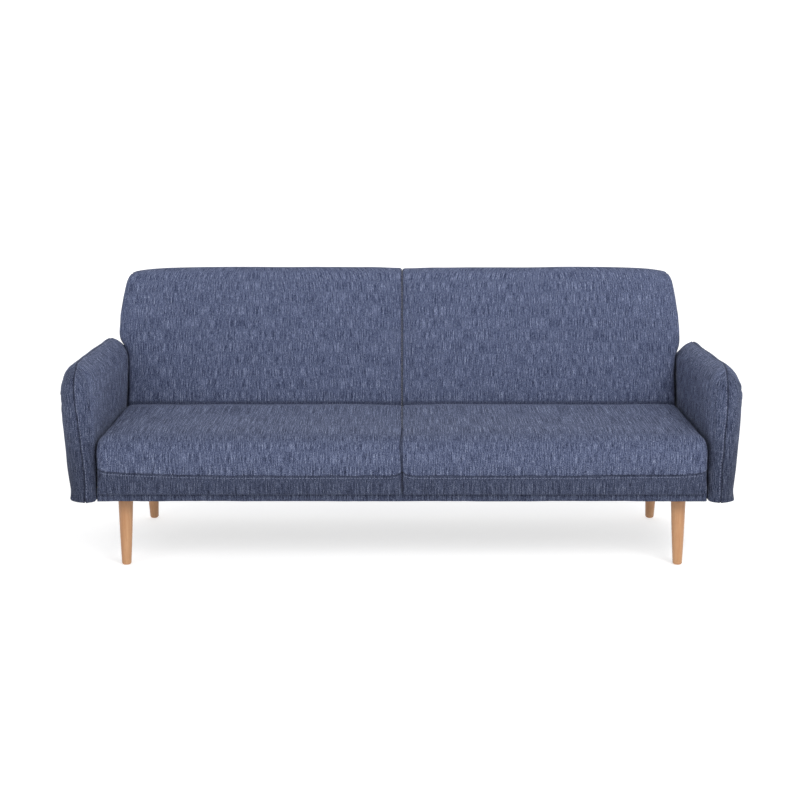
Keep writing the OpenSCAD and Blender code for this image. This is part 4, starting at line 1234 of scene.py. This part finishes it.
def leg(name):
    """A turned, tapered leg on the CAD leg's own axis, with a softly rounded foot and a small shadow step at the top."""
    co = np.array([v.co for v in frame["nodes"][name].data.vertices])
    zt = co[:, 2].max()
    top = co[co[:, 2] > zt - 0.002]
    # the slice at the top gives where the axis starts; its lean is set below
    lo_band = co[(co[:, 2] < 0.03)]
    c_top = (top.min(0) + top.max(0)) / 2
    c_low = (lo_band.min(0) + lo_band.max(0)) / 2
    c_top = np.array([c_top[0], c_top[1], zt])
    front = "front" in name
    ang = math.radians(5.0 if front else 8.0)
    ax = np.array([0, -math.sin(ang) if front else math.sin(ang), -math.cos(ang)])
    length = zt / math.cos(ang)
    r0, r1 = 0.0222, 0.0141
    prof = [(0.0, 0.0)]
    ring = [(0.0, r0 - 0.0012), (0.0006, r0 - 0.0004), (0.0016, r0), (0.020, r0 - 0.0006)]
    n = 26
    for i in range(1, n + 1):
        t = i / n
        ring.append((0.02 + t * (length - 0.0275 - 0.0), r0 - 0.0006 - (r0 - 0.0006 - r1) * t + 0.0004 * math.sin(math.pi * t)))
    for a in np.linspace(12, 90, 8):
        ring.append((length - 0.0075 + 0.0065 * math.sin(math.radians(a)), r1 - 0.0065 + 0.0065 * math.cos(math.radians(a))))
    side = np.cross(ax, np.array([1.0, 0, 0]))
    side /= np.linalg.norm(side)
    xv = np.cross(side, ax)
    k = 56
    pts, fcs = [], []
    for (d, r) in ring:
        for j in range(k):
            w = 2 * math.pi * j / k
            q = c_top + ax * d + (xv * math.cos(w) + side * math.sin(w)) * r
            pts.append(q)
    pts = np.array(pts)
    # the top is cut level under the rail, the foot rests level on the floor
    pts[:, 2] = np.clip(pts[:, 2], 0.0, zt)
    for i in range(len(ring) - 1):
        for j in range(k):
            a, b = i * k + j, i * k + (j + 1) % k
            fcs.append([a, b, b + k, a + k])
    top_c, low_c = len(pts), len(pts) + 1
    low_ring = pts[-k:]
    pts = np.concatenate([pts, [pts[:k].mean(0)], [[low_ring[:, 0].mean(), low_ring[:, 1].mean(), low_ring[:, 2].min() - 0.0]]])
    for j in range(k):
        fcs.append([top_c, (j + 1) % k, j])
        fcs.append([low_c, (len(ring) - 1) * k + j, (len(ring) - 1) * k + (j + 1) % k])
    p = np.array(pts)
    vol = 0.0
    for fc in fcs:
        for i in range(1, len(fc) - 1):
            vol += np.dot(p[fc[0]], np.cross(p[fc[i]], p[fc[i + 1]]))
    if vol < 0:
        fcs = [fc[::-1] for fc in fcs]
    o = object_of("turned_" + name, mesh_of("turned_" + name, p, fcs))
    o.data.materials.append(M_BEECH)
    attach(o, "base")
    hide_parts(name)
    return o


for side, label in ((-1, "left"), (1, "right")):
    seat(side, label, 100 if side < 0 else 200)
    back(side, label, 300 if side < 0 else 400)
    arm(side, label, 500 if side < 0 else 600)
rails()
rail_ends()
dust()
for name in ("leg_front_left", "leg_front_right", "leg_rear_left", "leg_rear_right"):
    leg(name)

# ---------------------------------------------------------------- the frame's own parts keep their shapes and get finishes
FINISH = {"rail": M_PINE, "corner_blocks": M_PINE, "arm_frame": M_PINE, "back_rails": M_PLY, "back_stiles": M_PLY, "webbing": M_WEB,
          "springs": M_SPRING, "clips": M_STEEL, "bolts": M_STEEL, "nuts": M_STEEL, "screws": M_STEEL, "plate": M_STEEL, "pins": M_STEEL,
          "foam": M_FOAM, "leg": M_BEECH, "dust": M_DUST, "cover": M_SEAT, "panel": M_BACK}
for name, o in frame["nodes"].items():
    pick = None
    for key in ("dust", "cover", "panel", "foam", "webbing", "springs", "clips", "bolts", "nuts", "screws", "plate", "pins", "leg", "back_rails", "back_stiles", "corner_blocks", "arm_frame", "rail"):
        if key in name:
            pick = FINISH[key]
            break
    if o.material_slots:
        for sl in o.material_slots:
            sl.material = pick
    else:
        o.data.materials.append(pick)

# ---------------------------------------------------------------- floor, light, camera
floor = object_of("floor", mesh_of("floor", [(-30, -20, 0), (30, -20, 0), (30, 14, 0), (-30, 14, 0)], [[0, 1, 2, 3]]))
kf = Nodes("floor_pale")
cf = kf.new("ShaderNodeTexCoord").outputs["Object"]
kf.put(kf.bsdf.inputs["Base Color"], kf.ramp(kf.noise(cf, 1.3, 2, 0.5), [(0.3, (0.64, 0.64, 0.64)), (0.7, (0.68, 0.68, 0.68))]))
kf.bsdf.inputs["Roughness"].default_value = 0.9
kf.bsdf.inputs["Specular IOR Level"].default_value = 0.1
kf.bsdf.inputs["Emission Color"].default_value = (1, 1, 1, 1)
kf.bsdf.inputs["Emission Strength"].default_value = 0.60
floor.data.materials.append(kf.m)

# a plain white wall far behind, only as large as the view needs
wall = object_of("backdrop", mesh_of("backdrop", [(-7, 13, 0), (7, 13, 0), (7, 13, 8), (-7, 13, 8)], [[0, 1, 2, 3]]))
kw = Nodes("backdrop_pale")
kw.put(kw.bsdf.inputs["Base Color"], kw.ramp(kw.noise(kw.new("ShaderNodeTexCoord").outputs["Object"], 0.7, 2, 0.5), [(0.3, (0.88, 0.88, 0.88)), (0.7, (0.92, 0.92, 0.92))]))
kw.bsdf.inputs["Roughness"].default_value = 0.9
kw.bsdf.inputs["Emission Color"].default_value = (1, 1, 1, 1)
kw.bsdf.inputs["Emission Strength"].default_value = 0.75
wall.data.materials.append(kw.m)

world = bpy.data.worlds.new("studio")
scene.world = world
world.use_nodes = True
bg = world.node_tree.nodes["Background"]
bg.inputs["Color"].default_value = (1.0, 1.0, 1.0, 1)
bg.inputs["Strength"].default_value = 0.72


def area(name, at, to, size, power, color=(1, 1, 1)):
    l = bpy.data.lights.new(name, "AREA")
    l.shape = "RECTANGLE"
    l.size, l.size_y = size
    l.energy = power
    l.color = color
    o = bpy.data.objects.new(name, l)
    scene.collection.objects.link(o)
    o.location = at
    o.rotation_euler = (Vector(to) - Vector(at)).to_track_quat("-Z", "Y").to_euler()
    return o


area("key", (1.9, -3.4, 2.9), (0.0, 0.1, 0.45), (2.4, 1.8), 115)
area("fill", (-2.6, -3.2, 2.0), (0.0, 0.1, 0.45), (2.4, 1.8), 28)

cam_data = bpy.data.cameras.new("camera")
cam_data.lens = 67.95
cam_data.sensor_width = 36.0
cam_data.shift_x = -0.0025
cam = bpy.data.objects.new("camera", cam_data)
cam.location = (0.0, -YO - 4.265, 1.27)
cam.rotation_euler = (math.radians(79.9), 0, 0)
scene.collection.objects.link(cam)
scene.camera = cam

bpy.context.view_layer.update()
